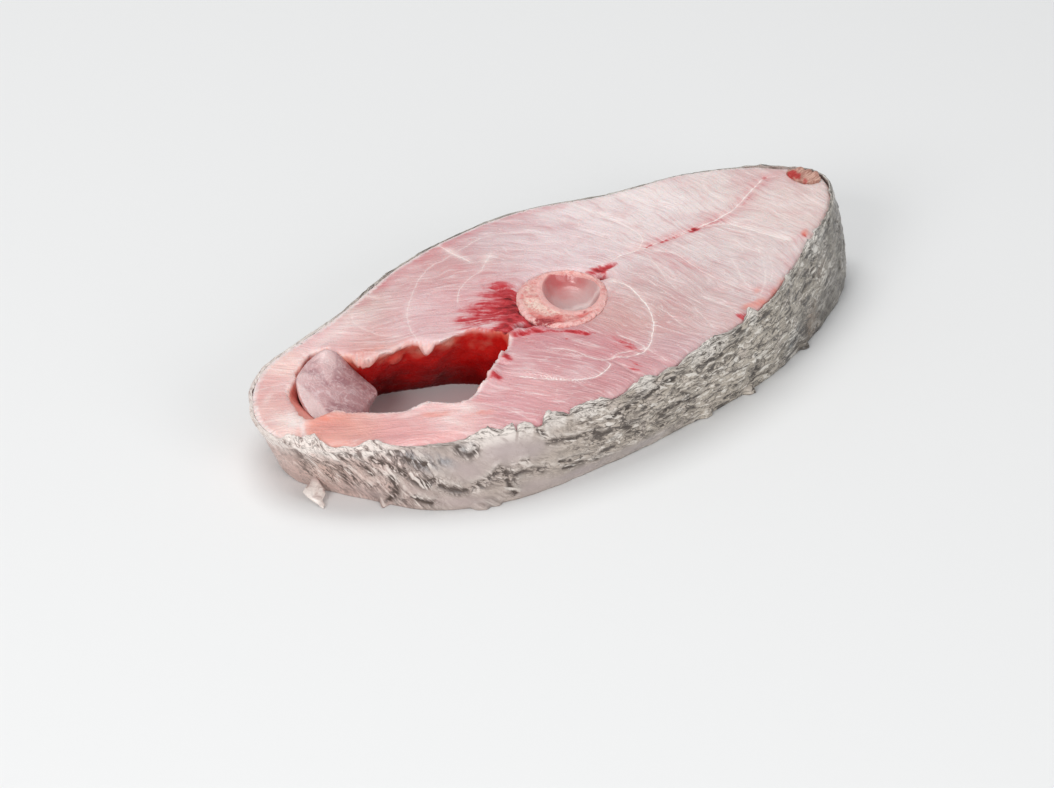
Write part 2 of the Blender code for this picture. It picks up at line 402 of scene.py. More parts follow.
# Sheets of white tissue between the muscle blocks: strength, half width, then x and y of each point.
SHEETS_A = [
    (0.9, 0.42, -38, -26, -34, -31, -29, -37, -24.5, -41, -20, -42.3, -15.5, -40.8, -12, -38),
    (0.9, 0.4, -13.5, -38.8, -11, -38, -8, -40.4, -4, -41.3, 0, -40.3, 5, -36.5, 10, -31.5, 14, -25.5, 16.8,
     -19, 18.3, -13, 18.3, -9, 15.5, -5),
    (0.85, 0.5, 24, 1.5, 29, 2.4, 33, 1.8, 37.5, 0.9, 44, 0.2, 51, -0.7, 60, -0.9, 68.6, -0.8, 77, 2, 85,
     5.3, 92, 7.2, 96.4, 3.8),
    (0.42, 0.42, -44.5, 4, -43, 9, -40.5, 14, -36.5, 19.5, -30, 25.5, -22, 31.5, -15, 34.8, -8, 35.5, -5,
     36),
    (0.45, 0.42, -5, 36, 0, 36.8, 6, 37.5, 11, 36.5, 16, 33, 20.5, 28.5, 24.5, 21),
    (0.45, 0.4, -24, 12, -20, 17, -15, 20.5, -10, 22.3, -6, 23, -3, 25, 0, 27, 4.5, 30),
    (0.35, 0.38, 4.5, 30, 8, 27, 12, 22.5, 16, 16.5, 18.5, 11), (0.3, 0.4, 14, 45, 18, 40, 20, 36, 22, 31),
    (0.28, 0.45, 52, 31, 55, 23, 58, 15, 60.5, 8), (0.25, 0.45, 61, 27, 62, 20, 61.5, 12, 60, 6),
    (0.3, 0.5, 88, 23, 82, 21, 77, 18.5, 74, 14, 73, 8, 72, 1.5),
    (0.3, 0.4, 24, -4, 25, -12, 24, -22, 22.3, -32, 21, -42),
    (0.5, 0.38, 16.5, -25.5, 16.3, -31, 15.3, -36, 14.8, -41), (0.45, 0.38, 31, -46, 31, -38, 30, -30),
    (0.28, 0.45, 48, -39, 55, -33, 60, -26, 62, -18), (0.28, 0.35, -33, -24, -31, -31, -28, -38, -27, -47),
    (0.3, 0.4, -45, 9, -50, 16, -51, 24, -48, 31), (0.4, 0.42, -98, 14, -94, 15.5, -89, 14.5, -85.5, 13.5),
]
SHEETS_B = [
    (0.6, 0.45, -21.4, -22.2, -18.5, -24.5, -16.5, -28.5, -15.8, -33.5, -13.8, -37.6, -8.5, -37.6, -3.5,
     -39.5, 1.5, -42),
    (0.55, 0.35, -1.5, -50, -1.2, -42, -1, -35, -2.5, -29),
    (0.8, 0.45, 56, -0.8, 60, -2.3, 64, -4.8, 66.3, -10, 68, -16, 69.8, -22, 71.3, -26),
    (0.55, 0.4, 36, -0.5, 39.5, -4, 41, -9, 40.4, -15, 39.8, -22, 40.2, -30, 41, -36, 42, -41),
    (0.4, 0.4, 35.2, -1.5, 33.5, -6, 31.2, -12, 28.2, -19.5, 26.8, -28, 27, -35),
    (0.35, 0.6, 51, -20, 48.4, -25, 45, -31, 42, -38),
    (0.35, 0.6, 61, -20, 58, -25.5, 53, -32, 47.5, -37.5, 41, -42),
    (0.6, 0.45, 39.5, 36, 39.8, 31, 41.3, 25, 42.2, 18, 42, 12, 40.8, 6, 37.5, 3, 34.5, 1),
    (0.35, 0.4, 25, 43, 28, 36, 31, 27, 32.3, 18, 33.5, 9, 35, 2),
    (0.62, 0.45, -5, 46, -5, 41, -5, 36, -4.5, 31, -5, 27.5), (0.35, 0.38, 24, -33, 22, -39.5, 20, -46),
    (0.35, 0.4, -56, -27.5, -52.5, -33, -50, -40, -49, -47), (0.3, 0.35, -26, -18, -21, -26, -17, -33),
    (0.4, 0.42, -104, 2, -99, -1, -96, -7),
]
sheet_a, shows_a = line_marks(xy, SHEETS_A)
sheet_b, shows_b = line_marks(xy, SHEETS_B)

# Fibres cross the slice from the far flank to the near one, more and more aslant towards the belly:
# (x, angle on the far half, angle on the near half), in degrees.
GRAIN_TURNS = [
    (-70, -38, -35), (-45, -32, -45), (-20, -40, -62), (0, -58, -74), (20, -75, -83), (40, -88, -86),
    (110, -90, -90),
]
grain_x, *grain_angles = np.array(GRAIN_TURNS, float).T
GRAIN_LINE = np.arange(-110, 112)
grain_fields = []
for angles in grain_angles:
    slope = np.radians(np.interp(GRAIN_LINE, grain_x, angles))
    here = np.interp(x, GRAIN_LINE, slope)
    for step, tilt in ((np.cos(slope), np.sin(here)), (-np.sin(slope), np.cos(here))):
        so_far = np.cumsum(step)
        grain_fields.append(np.interp(x, GRAIN_LINE, so_far - so_far[-1]) + y * tilt)
far_half = ease(y, -7, 5)
along_grain = grain_fields[0] * far_half + grain_fields[2] * (1 - far_half)
across_grain = grain_fields[1] * far_half + grain_fields[3] * (1 - far_half)
across_grain = across_grain + 3.4 * bumps(places, 17, 29) + 1.1 * bumps(places, 6, 30)

# The step at the tip where the belly flap begins: a point on it, and the way it faces.
STEP_AT = (-94.4, -5)
STEP_FACES = (0.824, -0.566)
# Where the surface stands up or sinks, as ovals for patches. A strength of 1 is DEPTH_FULL millimetres.
DEPTH_FULL = 2.6
RISES = [
    (-63.6, -17.6, 3.2, 2.6, 20, 2), (-56, -26, 2, 1.6, 20, 0.35), (-33.2, -15.8, 2, 1.5, -80, 0.6),
    (-38, -16.2, 2.2, 1.4, -20, 0.45), (-42.6, -22, 2.6, 1.5, -70, 0.5), (-24.5, -10, 3.4, 1.1, -8, 0.55),
    (-16.5, -12, 3.5, 1, -25, 0.4), (-66, 20, 4, 1.5, 10, 0.35), (-30.5, -1.5, 2.4, 1.8, 0, 0.4),
    (-41, -22, 5, 1.6, 38, 0.35), (-88, -8.5, 8, 1.6, -8, 0.3), (-62.5, 9, 1.6, 2.4, 0, 0.45),
    (-33.5, -12, 2.2, 1.8, 0, 0.45), (-21, -9.6, 2, 1.4, -10, 0.4), (-27, -8.6, 2.2, 1.3, -10, 0.4),
    (-29, -4.4, 3, 1, -30, 0.35), (-21, -6.4, 2.6, 0.9, 0, 0.3), (-47.5, -23.5, 2.4, 1.6, 30, 0.35),
]
PITS = [
    (17.6, -2.6, 1.5, 1.3, 0, 1), (-24.5, -7.2, 4, 0.7, -12, 0.35), (-31.5, -6, 2.6, 0.7, -60, 0.3),
    (-36, -19, 3.5, 0.6, -60, 0.25), (-34.5, -16.8, 2.6, 0.5, -10, 0.25), (20.5, 0.6, 3, 1.3, -10, 0.35),
    (-17.7, -8.2, 1.7, 1.4, 0, 1.1), (-9, 12, 2.2, 1.8, 0, 0.35), (-14, -10.5, 3.5, 1.3, -30, 0.3),
    (-19, 3, 3, 5, 20, 0.12), (-9, -23, 3, 1.2, -20, 0.22), (-12, -45, 0.8, 5.5, 0, 0.3),
    (-3, -45, 0.7, 5, 0, 0.22),
]
BLOOD = [
    (-11.5, 5, 6, 7, 0, 0.66), (-17.5, 4, 9, 6.5, 0, 0.4), (-8.2, 11.8, 3.8, 3.6, 0, 0.48),
    (-15, 1, 4, 2, -10, 0.6), (-9.5, 17, 3, 4, 0, 0.26), (-21, 9, 8, 7, 0, 0.22), (-30, 3, 7, 4, 0, 0.2),
    (-12.8, -1.5, 3, 4.5, 0, 0.5), (-24.5, 3.5, 5.5, 4, -10, 0.27), (-17.5, -3.2, 5.5, 3, 0, 0.58),
    (-29, -3, 4.6, 1.6, -35, 0.8), (-22.5, -5.2, 4.2, 1.8, 8, 0.86), (-24.5, -7.4, 4.5, 0.9, -12, 0.8),
    (-31.5, -6.2, 3.2, 1, -60, 0.62), (-25.5, -7.6, 4, 1.2, -14, 0.45), (-13.6, -8.6, 3.6, 2.8, 10, 0.95),
    (-17.7, -8.4, 1.7, 1.4, 0, 0.97), (-11.5, -13.8, 3.4, 1.1, -42, 0.78), (-13.4, -11, 2.6, 1.6, -20, 0.92),
    (-21.8, -11.6, 4, 1.2, -28, 0.74), (-17, -13.6, 4, 1, -30, 0.66), (-13, -17, 3.4, 0.8, -44, 0.5),
    (-10, -19.8, 2.6, 0.9, -50, 0.62), (-7.2, -23.4, 2.4, 0.9, -52, 0.7), (-13.5, -22, 1.6, 0.7, -50, 0.55),
    (-3.4, -33, 4.4, 1.1, -82, 0.56), (-4.2, -38, 4.2, 1, -78, 0.48), (-11.3, -46.5, 4, 0.9, -86, 0.48),
    (-8.9, -45, 4, 0.8, -86, 0.34), (18.8, 0.6, 3.8, 1.8, -8, 0.88), (22.4, 0.2, 2.6, 1.4, -8, 0.7),
    (17.2, -2.8, 1.6, 1.6, 0, 0.85), (-33.6, -14.8, 3.4, 1.9, -70, 0.86), (-32.8, -18.6, 2.2, 1.2, -80, 0.6),
    (-37.4, -17, 3.6, 1.1, -60, 0.66), (-41.2, -17.6, 2.6, 1.6, -65, 0.8), (-42.2, -24, 2.6, 1.5, -70, 0.7),
    (-45.5, -23.5, 1.6, 1.2, 0, 0.5), (-41.2, -52, 3.2, 1, -85, 0.32), (-23, -53.8, 2.4, 1, -85, 0.4),
    (54.8, -1.3, 3, 1.1, 0, 0.72), (40, 0.6, 9, 0.5, -4, 0.34), (46.5, -0.4, 6.5, 0.6, -3, 0.42),
    (62.5, -1.9, 4, 0.5, -6, 0.4), (77.5, 0.8, 5.5, 0.6, 22, 0.34), (91.2, 7.2, 1.8, 1.1, 0, 0.34),
    (31, -45.5, 2.2, 1.2, -30, 0.55), (75.6, -25, 2, 0.9, 40, 0.42), (13.6, -11.8, 1.2, 1.6, 0, 0.36),
]
# Orange-red stains at the rim of the slice and along the belly wall.
RUSTY = [
    (76.5, -24.3, 2.6, 1, 30, 0.55), (53, -39.6, 2.6, 1.3, 30, 0.75), (47.5, -42.6, 3.2, 1.6, 25, 0.85),
    (40.5, -43.6, 3.4, 1.4, 10, 0.7), (34.5, -43, 2.4, 1.1, 0, 0.55), (43.5, -38.8, 2, 1.6, 0, 0.3),
    (-86.6, -6.4, 3.4, 0.9, -35, 0.7), (-89.5, -9.5, 2.4, 1.4, -30, 0.35),
    (-79.5, -12.8, 4.5, 0.7, -38, 0.35), (-66, -27.5, 5, 1.6, -35, 0.4), (-57, -35, 4.5, 1.6, -25, 0.4),
    (-57.5, 11.5, 5, 1.6, -18, 0.45), (-47, 8.5, 4, 1, 0, 0.3),
]
PINK = [
    (-14, 7, 14, 11, 0, 0.7), (-6, 20, 3.5, 5, 0, 0.7), (-9, 28.5, 1.6, 2.6, 0, 0.45),
    (-22, -14, 9, 3, -15, 0.55), (-6, -35, 5, 6.5, 0, 0.8), (-6, -46, 6.5, 5.5, 0, 0.6),
    (38, -5.5, 5, 1.3, -62, 0.75), (39.9, -15.5, 7.5, 1.3, -93, 0.72), (36.3, -11, 9, 3.2, -82, 0.42),
    (39.8, -26, 4.5, 1, -90, 0.45), (44, 0.6, 13, 2.4, -4, 0.92), (64, -1.4, 9, 2.2, 0, 0.85),
    (82, 3.4, 12, 2.6, 20, 0.85), (8, -13, 7, 5, 0, 0.25), (19, -5, 4, 3, 0, 0.35),
    (-52.5, -29.5, 5, 2, -30, 0.55), (-15, -31, 2.6, 5, 10, 0.3), (-22, -46, 12, 4.5, -4, 0.25),
    (31, -46.5, 4, 1.8, 5, 0.6), (44, -42.5, 9, 2.2, 22, 0.5), (62, -33.5, 5, 2, 30, 0.3),
    (74, -25, 4.5, 2, 25, 0.45), (33, 41.5, 4.5, 2.2, -15, 0.55), (4, 42.5, 7, 1.8, 0, 0.5),
    (-6, 41.5, 4.5, 2.6, 0, 0.45), (-15, 40, 6, 3, 10, 0.45), (-32, 36, 4.5, 1.8, 15, 0.55),
    (-42, 32.5, 3, 1.5, 15, 0.45), (57, -1.5, 6, 2, -10, 0.35), (64, -3, 3.5, 1.2, -15, 0.3),
    (91, 6.5, 7, 2.2, 0, 0.4), (73, 26, 4, 1.4, -5, 0.3), (96, -1, 3, 3, 0, 0.3),
]
PALE = [
    (-60, 24, 10, 3, 15, 0.5), (-97.5, -1, 5, 5, 0, 0.5), (36, 1.5, 3, 3.5, 0, 0.7),
    (-5, 38.5, 2, 4, 0, 0.6), (-4.8, 33, 1.2, 4.5, 0, 0.6), (0, 27, 5, 2.2, 30, 0.5),
    (60, 25, 10, 5, -30, 0.4), (-38, 33.5, 1, 2.2, 15, 0.7), (70.5, -22, 1.2, 3.5, 10, 0.6),
    (17.5, -6.5, 2, 1.6, 30, 0.9), (-12, -26.5, 1.2, 4.5, 10, 0.5), (-58, -29, 4, 3, -20, 0.5),
    (-65, -33, 1.4, 7, 10, 0.5), (60, -20, 3, 9, 20, 0.25), (46, 0.4, 11, 1.7, 0, 0.45),
    (80, 2.8, 10, 1.8, 20, 0.4), (-97, -4.5, 2.2, 5, -30, 0.8), (-93.6, 10.5, 4, 1, 35, 0.5),
    (-74, -20.5, 7, 2, -38, 0.5), (-60, -30, 5, 2.5, -35, 0.4),
]
# Colour of the flesh zone by zone: x, y, reach, then the colour.
TONES = [
    (60, 20, 24, 0.8, 0.69, 0.68), (80, -6, 18, 0.72, 0.57, 0.54), (92, 8, 7, 0.63, 0.42, 0.41),
    (76, 13, 7, 0.7, 0.57, 0.54), (52, -22, 18, 0.69, 0.56, 0.55), (44, 10, 8, 0.76, 0.61, 0.6),
    (20, 20, 16, 0.72, 0.55, 0.56), (25, -28, 14, 0.6, 0.41, 0.4), (8, -26, 9, 0.61, 0.35, 0.33),
    (-15, 38, 11, 0.6, 0.33, 0.33), (8, 38, 10, 0.6, 0.42, 0.43), (0, 25, 6, 0.64, 0.42, 0.42),
    (-18, -32, 12, 0.59, 0.27, 0.29), (0, -46, 9, 0.59, 0.38, 0.39), (-25, -46, 11, 0.56, 0.29, 0.3),
    (-33, 14, 12, 0.69, 0.43, 0.44), (-45, 30, 9, 0.62, 0.43, 0.4), (-46, -36, 11, 0.66, 0.32, 0.34),
    (-36, -36, 7, 0.75, 0.42, 0.42), (-60, 24, 10, 0.76, 0.47, 0.47), (-80, 23, 6, 0.86, 0.6, 0.55),
    (-56, 14, 7, 0.62, 0.32, 0.29), (-62, -33, 7, 0.82, 0.51, 0.49), (-74, -28, 9, 0.73, 0.36, 0.35),
    (-87, -16, 7, 0.72, 0.34, 0.29), (-90, -10, 5, 0.75, 0.26, 0.19), (-92, 14, 7, 0.71, 0.39, 0.37),
    (-101, 5, 7, 0.76, 0.46, 0.42), (-97, -3, 4, 0.86, 0.62, 0.57),
]


def zone_colour(xy, tones):
    """Colour at each place, blended from the nearest zones."""
    total = np.zeros((len(xy), 3))
    weights = np.zeros(len(xy))
    for *spot, reach, red, green, blue in tones:
        away = away_from(xy, spot) / reach
        weight = bell(away) + 1e-4 / (1 + away**2)
        total += weight[:, None] * np.array((red, green, blue))
        weights += weight
    return total / weights[:, None]


flat_spots = places * (1, 1, 0.35)
swell = 0.35 * bumps(flat_spots, 17, 3, 2)
swell += 0.1 * bumps(flat_spots, 3.2, 5, 2)
groove = shows_a * bell(sheet_a * 0.7) + shows_b * bell(sheet_b * 0.7)
blood = patches(xy, BLOOD)
swell *= (0.3 + 0.7 * ease(to_flank, 0, 4)) * (0.1 + 0.9 * ease(to_bone, 0.5, 5))
relief = swell - 0.3 * groove
relief += DEPTH_FULL * (patches(xy, RISES) - patches(xy, PITS))
relief += 0.55 * ease(blood, 0.35, 0.8) * bumps(places, 1.9, 11, 2)
relief += 0.16 * bumps(np.stack([along_grain / 5, across_grain, z / 4], axis=1), 2.1, 12, 2)
relief -= 0.5 * ease(to_cavity, 1.6, 0) * (0.6 + bumps(places, 4, 13))
near_rim = np.maximum(ease(y, -4, -9), ease(x, 94, 99))
relief -= 0.35 * ease(to_flank, 2, 0) * near_rim
relief -= 0.34 * ease(to_bone, 1.5, 0.2)
# The near wall of the belly ends in a row of soft lumps, and the belly flap lies a step above the tip.
near_lip = ease(y, -9, -13) * ease(x, -84, -76)
relief += near_lip * ease(to_cavity, 4.2, 1.2) * (0.1 + 0.95 * np.abs(bumps(flat_spots, 6, 14, 2)))
past_step = (x - STEP_AT[0]) * STEP_FACES[0] + (y - STEP_AT[1]) * STEP_FACES[1]
on_flap = ease(past_step, -0.4, 0.4) * ease(y, 1, -5) * ease(x, -60, -80)
relief += 0.7 * on_flap * ease(past_step, 16, 2)
near_base = ease(z, 4, 0)
z += relief * ease(below, 5, 0)
z += np.abs(0.5 * swell - 0.2 * groove + 0.25 * ease(to_flank, 3, 0)) * near_base

# The rim swells out to meet the skin, and the socket closes round the bone.
level = outward * (1, 1, 0)
places += level * ((found == FLANK) * ease(below, 3.5, 1))[:, None]
places += level * (0.5 * (found == SOCKET) * ease(below, 4, 0.5))[:, None]

# Beside the lump of fat the belly wall closes in until the two touch.
HUGGED = [(-82, 15, 4.5, 5, 30, 1), (-76, 19, 6, 4.5, 20, 1), (-68.5, 20, 5, 4, 0, 0.9)]
LUMP_AT = (-74, 5)
towards = LUMP_AT - xy
towards /= np.linalg.norm(towards, axis=1)[:, None] + 1e-6
near_wall = np.where(on_top, ease(to_cavity, 5, 0.6), (found == CAVITY) * ease(below, 9, 2))
xy += towards * (2.3 * patches(xy, HUGGED) * near_wall)[:, None]

# Cavity wall: folded lining, ragged where the knife left it.
in_cavity = (found == CAVITY).astype(float)
slot_end = in_cavity * patches(xy, [(-91, 2, 7, 14, 0, 1), (-80, 18, 10, 5, 20, 0.8)])
folds = 0.7 * bumps(places, (7, 7, 13), 17, 2) + 0.28 * bumps(places, 2.2, 19, 2)
folds = folds * (1 - 0.7 * slot_end) + 2 * slot_end * ease(below, 2.5, 7)
slot = patches(xy, [(-88, 1.5, 7.5, 4, 65, 1)])
folds += slot * (1.8 * ease(below, 1.5, 5) - 0.5 * ease(below, 4.5, 1))
# Soft blobs on the far wall: (x, y, depth, radius, how far out). The first two have dark middles.
BLOBS = [(-49.5, 8.5, 5.4, 2.8, 1.2), (-59, 7, 9, 2.4, 1), (-54, 9, 9.5, 2, 0.6)]
BLOB_EDGE = 0.4
for *spot, depth, radius, out in BLOBS:
    folds += in_cavity * out * ease(np.hypot(away_from(xy, spot), below - depth) / radius, 1.15, 0.55)
# Rags of the lining that hang from the upper edge of the far wall: (x, y, reach, out, drop).
for *spot, reach, out, drop in [(-61, 9, 4.5, 1.8, 1.5), (-43.5, 3, 2.6, 2, 1.3), (-33.5, -1, 2.4, 0.9, 0.6)]:
    rag = ease(away_from(xy, spot) / reach, 1.1, 0.3)
    folds += in_cavity * out * rag * ease(below, 3.4, 1.6)
    z -= drop * rag * ease(below, 3.4, 1.6) * ease(to_cavity, 1.8, 0.4)
ragged = 0.55 * bumps(places, (2.6, 2.6, 5), 23, 2) * ease(below, 4, 0.5) * (1 - 0.6 * near_lip)
places += outward * ((folds + ragged) * in_cavity * ease(z, 0, 3))[:, None]
move_to(flesh.data, places)

pink_rim = 0.4 * ease(to_flank, 4.5, 1) * ease(x, -48, -30) * ease(x, 48, 34) * (y > 0)
pink = np.clip(patches(xy, PINK) + pink_rim, 0, 1)
lip = np.where(on_top, ease(to_cavity, 1.3, 0.2), 0)
lip = np.maximum(lip, in_cavity * ease(below, 1.6, 0.4)) * ease(bumps(places, 5, 31), -0.7, 0.3)
lip *= 1 - ease(blood, 0.15, 0.45)
smooth_belly = patches(xy, [(-82, -21, 19, 8, -38, 1), (-97, 5, 7, 14, 10, 0.7)])
# White along the outer rim, the near lip of the cavity and the step of the belly flap: partly membrane,
# partly painted highlight on the edges.
film_and_edge_highlight = np.where(on_top, ease(to_flank, 0.5, 0.1), (found == FLANK) * ease(below, 2.2, 0.6)) * (1 - near_rim)
film_and_edge_highlight = np.maximum(film_and_edge_highlight, on_top * near_lip * ease(to_cavity, 1.9, 0.4))
step_film_and_highlight = 0.8 * on_top * ease(np.abs(past_step + 0.3), 0.9, 0.2) * ease(y, -1, -4) * ease(x, -80, -88)
film_and_edge_highlight = np.maximum(film_and_edge_highlight, step_film_and_highlight)
dark = on_top * patches(xy, [(-18, -8, 1.7, 1.3, 0, 0.95), (17.4, -2.8, 1.1, 1, 0, 0.8)])
for *spot, depth, radius, out in BLOBS[:2]:
    away = np.hypot(away_from(xy, spot), below - depth) / (radius - BLOB_EDGE)
    dark = np.maximum(dark, in_cavity * ease(away, 1.1, 0.7))
paint(flesh.data, "tone", *zone_colour(xy, TONES).T)
paint(flesh.data, "stain", blood, pink, patches(xy, PALE))
paint(flesh.data, "sheet", sheet_a, sheet_b, lip)
paint(flesh.data, "sheet_shows", shows_a, shows_b, smooth_belly)
paint(flesh.data, "grain", along_grain, across_grain, z)
paint(flesh.data, "wall", in_cavity, below, slot_end)
paint(flesh.data, "edge", patches(xy, RUSTY), film_and_edge_highlight, dark)

# Colours and surfaces are worked out in shader nodes, a step at a time.


def put(kind, inputs=None, result=0, **settings):
    """Adds a shader node to the tree in hand, and gives one of its results."""
    node = tree.nodes.new("ShaderNode" + kind)
    for name, value in settings.items():
        setattr(node, name, value)
    feed(node, inputs or {})
    return Wire(node.outputs[result])


def worked(operation):
    """One step of arithmetic, as a method of Wire."""
    return lambda a, b=0: put("Math", {0: a, 1: b}, operation=operation)


class Wire:
    """What comes out of a shader node. It can be reckoned with like a plain number."""

    __add__ = worked("ADD")
    __sub__ = worked("SUBTRACT")
    __mul__ = worked("MULTIPLY")
    __truediv__ = worked("DIVIDE")
    __abs__ = worked("ABSOLUTE")
    most = worked("MAXIMUM")

    def __init__(self, socket):
        self.socket = socket

    def __rsub__(self, whole):
        return put("Math", {0: whole, 1: self}, operation="SUBTRACT")

    def clipped(self):
        """The same number, kept from 0 to 1."""
        self.socket.node.use_clamp = True
        return self

    def fade(self, start, end, low=0, high=1):
        """A number eased from low at start to high at end."""
        inputs = {"Value": self, "From Min": start, "From Max": end, "To Min": low, "To Max": high}
        return put("MapRange", inputs, interpolation_type="SMOOTHSTEP")

    def ramp(self, *stops):
        """Colour read off a row of stops: (position, colour)."""
        shade = put("ValToRGB", {"Fac": self})
        row = shade.socket.node.color_ramp.elements
        for _ in stops[2:]:
            row.new(0.5)
        for slot, (position, colour) in zip(row, stops):
            slot.position = position
            slot.color = (*colour, 1)
        return shade

    def parts(self):
        """The three numbers of a vector."""
        return [Wire(socket) for socket in put("SeparateXYZ", {0: self}).socket.node.outputs]

    def stretched(self, *along):
        """A vector with each axis stretched."""
        return put("VectorMath", {0: self, 1: along}, operation="MULTIPLY")

    def cloud(self, scale, detail=2, rough=0.55, twist=0):
        """Cloudy random number from 0 to 1 for each vector."""
        inputs = {"Vector": self, "Scale": scale, "Detail": detail, "Roughness": rough, "Distortion": twist}
        return put("TexNoise", inputs)

    def bump(self, strength, metres):
        """Surface direction, with this number as a fine relief."""
        return put("Bump", {"Height": self, "Strength": strength, "Distance": metres})


def kept(name):
    """The vector kept at each vertex under a name."""
    return put("Attribute", result="Vector", attribute_name=name)


def laid(under, *layers):
    """Colours laid one over another, each with its share from 0 to 1: (colour, share)."""
    for over, share in layers:
        under = put("Mix", {0: share, 6: under, 7: over}, 2, data_type="RGBA")
    return under


# A fine moist surface, shared by the wet pieces.
moist = bpy.data.node_groups.new("moist surface", "ShaderNodeTree")
for label in ("Height", "Roughness"):
    moist.interface.new_socket(name=label, in_out="OUTPUT", socket_type="NodeSocketFloat")
tree = moist
place = put("TexCoord", result="Object")
wetness = place.cloud(260, 2).fade(0.35, 0.65, 0.26, 0.46)
feed(tree.nodes.new("NodeGroupOutput"), {"Height": place.cloud(1400, 3, 0.6), "Roughness": wetness})


def moisture():
    """Height and roughness of the moist surface."""
    node = tree.nodes.new("ShaderNodeGroup")
    node.node_tree = moist
    return [Wire(socket) for socket in node.outputs]


def soft(weight, green, blue, reach):
    """How light spreads inside a wet piece, with green and blue carried less far than red, in metres."""
    return {"Subsurface Weight": weight, "Subsurface Radius": (1, green, blue), "Subsurface Scale": reach}


def finish_piece(obj, node, shading):
    """Gives a piece the material in hand, with its shading, hangs it under the root body and hides the CAD
    part it stands for.
    """
    feed(tree.nodes["Principled BSDF"], shading)
    obj.data.materials.clear()
    obj.data.materials.append(material)
    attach(obj, "root")
    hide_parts(node)


material = new_material("raw fish flesh")
place = put("TexCoord", result="Object")
stain_blood, stain_pink, stain_pale = kept("stain").parts()
mark_a, mark_b, mark_lip = kept("sheet").parts()
show_a, show_b, sheet_smooth = kept("sheet_shows").parts()
wall_cavity, wall_depth, slot_painted_light = kept("wall").parts()
rust, film_and_edge_highlight, seen = kept("edge").parts()
fibres = kept("grain").stretched(0.11, 0.78, 0.3).cloud(1, 3, 0.6, 0.45)
threads = kept("grain").stretched(0.065, 0.4, 0.2).cloud(1, 2, 0.5, 0.6)
mottle = place.cloud(210, 3, 0.6)
broad = place.cloud(78, 2, 0.5)
coarse = 1 - sheet_smooth
fibre_pale = fibres.fade(0.52, 0.68, 0, 0.31) * mottle.fade(0.34, 0.58, 0.35, 1)
thread_share = abs(threads - 0.5).fade(0.022, 0.003, 0, 0.3) * coarse
pink_share = (stain_pink * fibres.fade(0.66, 0.34, 0.45, 1)).clipped()
wobble = (place.cloud(420, 3) - 0.5) * 2.4


def sheet_line(mark, shows):
    """How white a sheet of tissue is: a crisp core with a soft glow beside it."""
    off = abs(mark + wobble)
    return off.fade(0.8, 0.15).most(off.fade(3.4, 0.5, 0, 0.22)) * shows


white = sheet_line(mark_a, show_a).most(sheet_line(mark_b, show_b))
blood_noise = place.cloud(330, 3, 0.6, 0.6).fade(0.28, 0.72, -0.15, 0.15)
blood_level = stain_blood + (blood_noise + fibres.fade(0.32, 0.68, 0.15, -0.17))
blood_level = blood_level * stain_blood.fade(0.05, 0.3)
blood_shade = blood_level.ramp(
    (0.15, (0.62, 0.2, 0.215)), (0.38, (0.54, 0.075, 0.09)), (0.68, (0.45, 0.028, 0.036)),
    (1, (0.12, 0.006, 0.008))
)
rust_share = ((rust + mottle.fade(0.3, 0.7, 0.22, -0.22)) * rust.fade(0.05, 0.25)).clipped()
# The red lining is painted darker from the cut down, as painted shade deep in the cavity, and its row of
# colours ends at this depth in millimetres.
SHADE_DEPTH_END = 24
lining_with_depth_shade = (wall_depth / SHADE_DEPTH_END + place.cloud(130, 3).fade(0.2, 0.8, -0.16, 0.16)).ramp(
    (0, (0.76, 0.3, 0.23)),
    (0.1, (0.66, 0.12, 0.085)),
    (0.24, (0.6, 0.013, 0.01)),
    (0.46, (0.38, 0.005, 0.005)),
    (0.8, (0.13, 0.004, 0.004)),
)
lining_with_depth_shade = laid(
    lining_with_depth_shade,
    # Painted light: the lining is painted lighter in the narrow slot beside the lump, above about 16 mm deep,
    # where the gap is in shade.
    ((0.8, 0.34, 0.29), slot_painted_light * wall_depth.fade(16, 8)),
    ((0.6, 0.13, 0.1), seen * 0.55),
)
body = laid(
    kept("tone"),
    ((0.56, 0.25, 0.26), broad.fade(0.5, 0.7, 0, 0.26)),
    ((0.9, 0.8, 0.79), broad.fade(0.5, 0.32, 0, 0.2)),
    ((0.6, 0.29, 0.29), mottle.fade(0.5, 0.7, 0, 0.22)),
    ((0.92, 0.83, 0.81), fibre_pale * coarse),
    ((0.52, 0.22, 0.23), fibres.fade(0.47, 0.3, 0, 0.31) * coarse),
    ((0.92, 0.82, 0.8), thread_share * broad.fade(0.35, 0.6, 0.2, 1)),
    ((0.9, 0.78, 0.74), stain_pale * mottle.fade(0.3, 0.62, 0.2, 0.9)),
    ((0.58, 0.17, 0.19), pink_share * 0.85),
    ((0.93, 0.83, 0.79), white * place.cloud(330, 2).fade(0.3, 0.52, 0.45, 1)),
    (blood_shade, blood_level.fade(0, 0.62, 0, 0.97)),
    ((0.74, 0.17, 0.1), rust_share * 0.85),
    ((0.045, 0.006, 0.008), seen),
    (lining_with_depth_shade, wall_cavity),
    ((0.9, 0.72, 0.69), mark_lip * 0.75),
    # Pale edges, partly membrane and partly painted highlight, with dark specks on them.
    ((0.88, 0.76, 0.74), film_and_edge_highlight * 0.8),
    ((0.2, 0.14, 0.12), film_and_edge_highlight * place.cloud(520, 3, 0.6).fade(0.6, 0.68) * 0.8),
)
wet_height, wet_roughness = moisture()
surface = fibres * 0.9 + wet_height * 0.35 + blood_level * (mottle * 0.35)
shading = {
    "Base Color": body,
    "Normal": surface.bump(0.55, 0.0007),
    "Roughness": wet_roughness,
    "Specular IOR Level": wall_cavity.fade(0, 1, 0.4, 0.1) * blood_level.fade(0.1, 0.6, 1, 0.1),
}
finish_piece(flesh, "flesh", shading | soft(0.12, 0.35, 0.25, 0.0025))
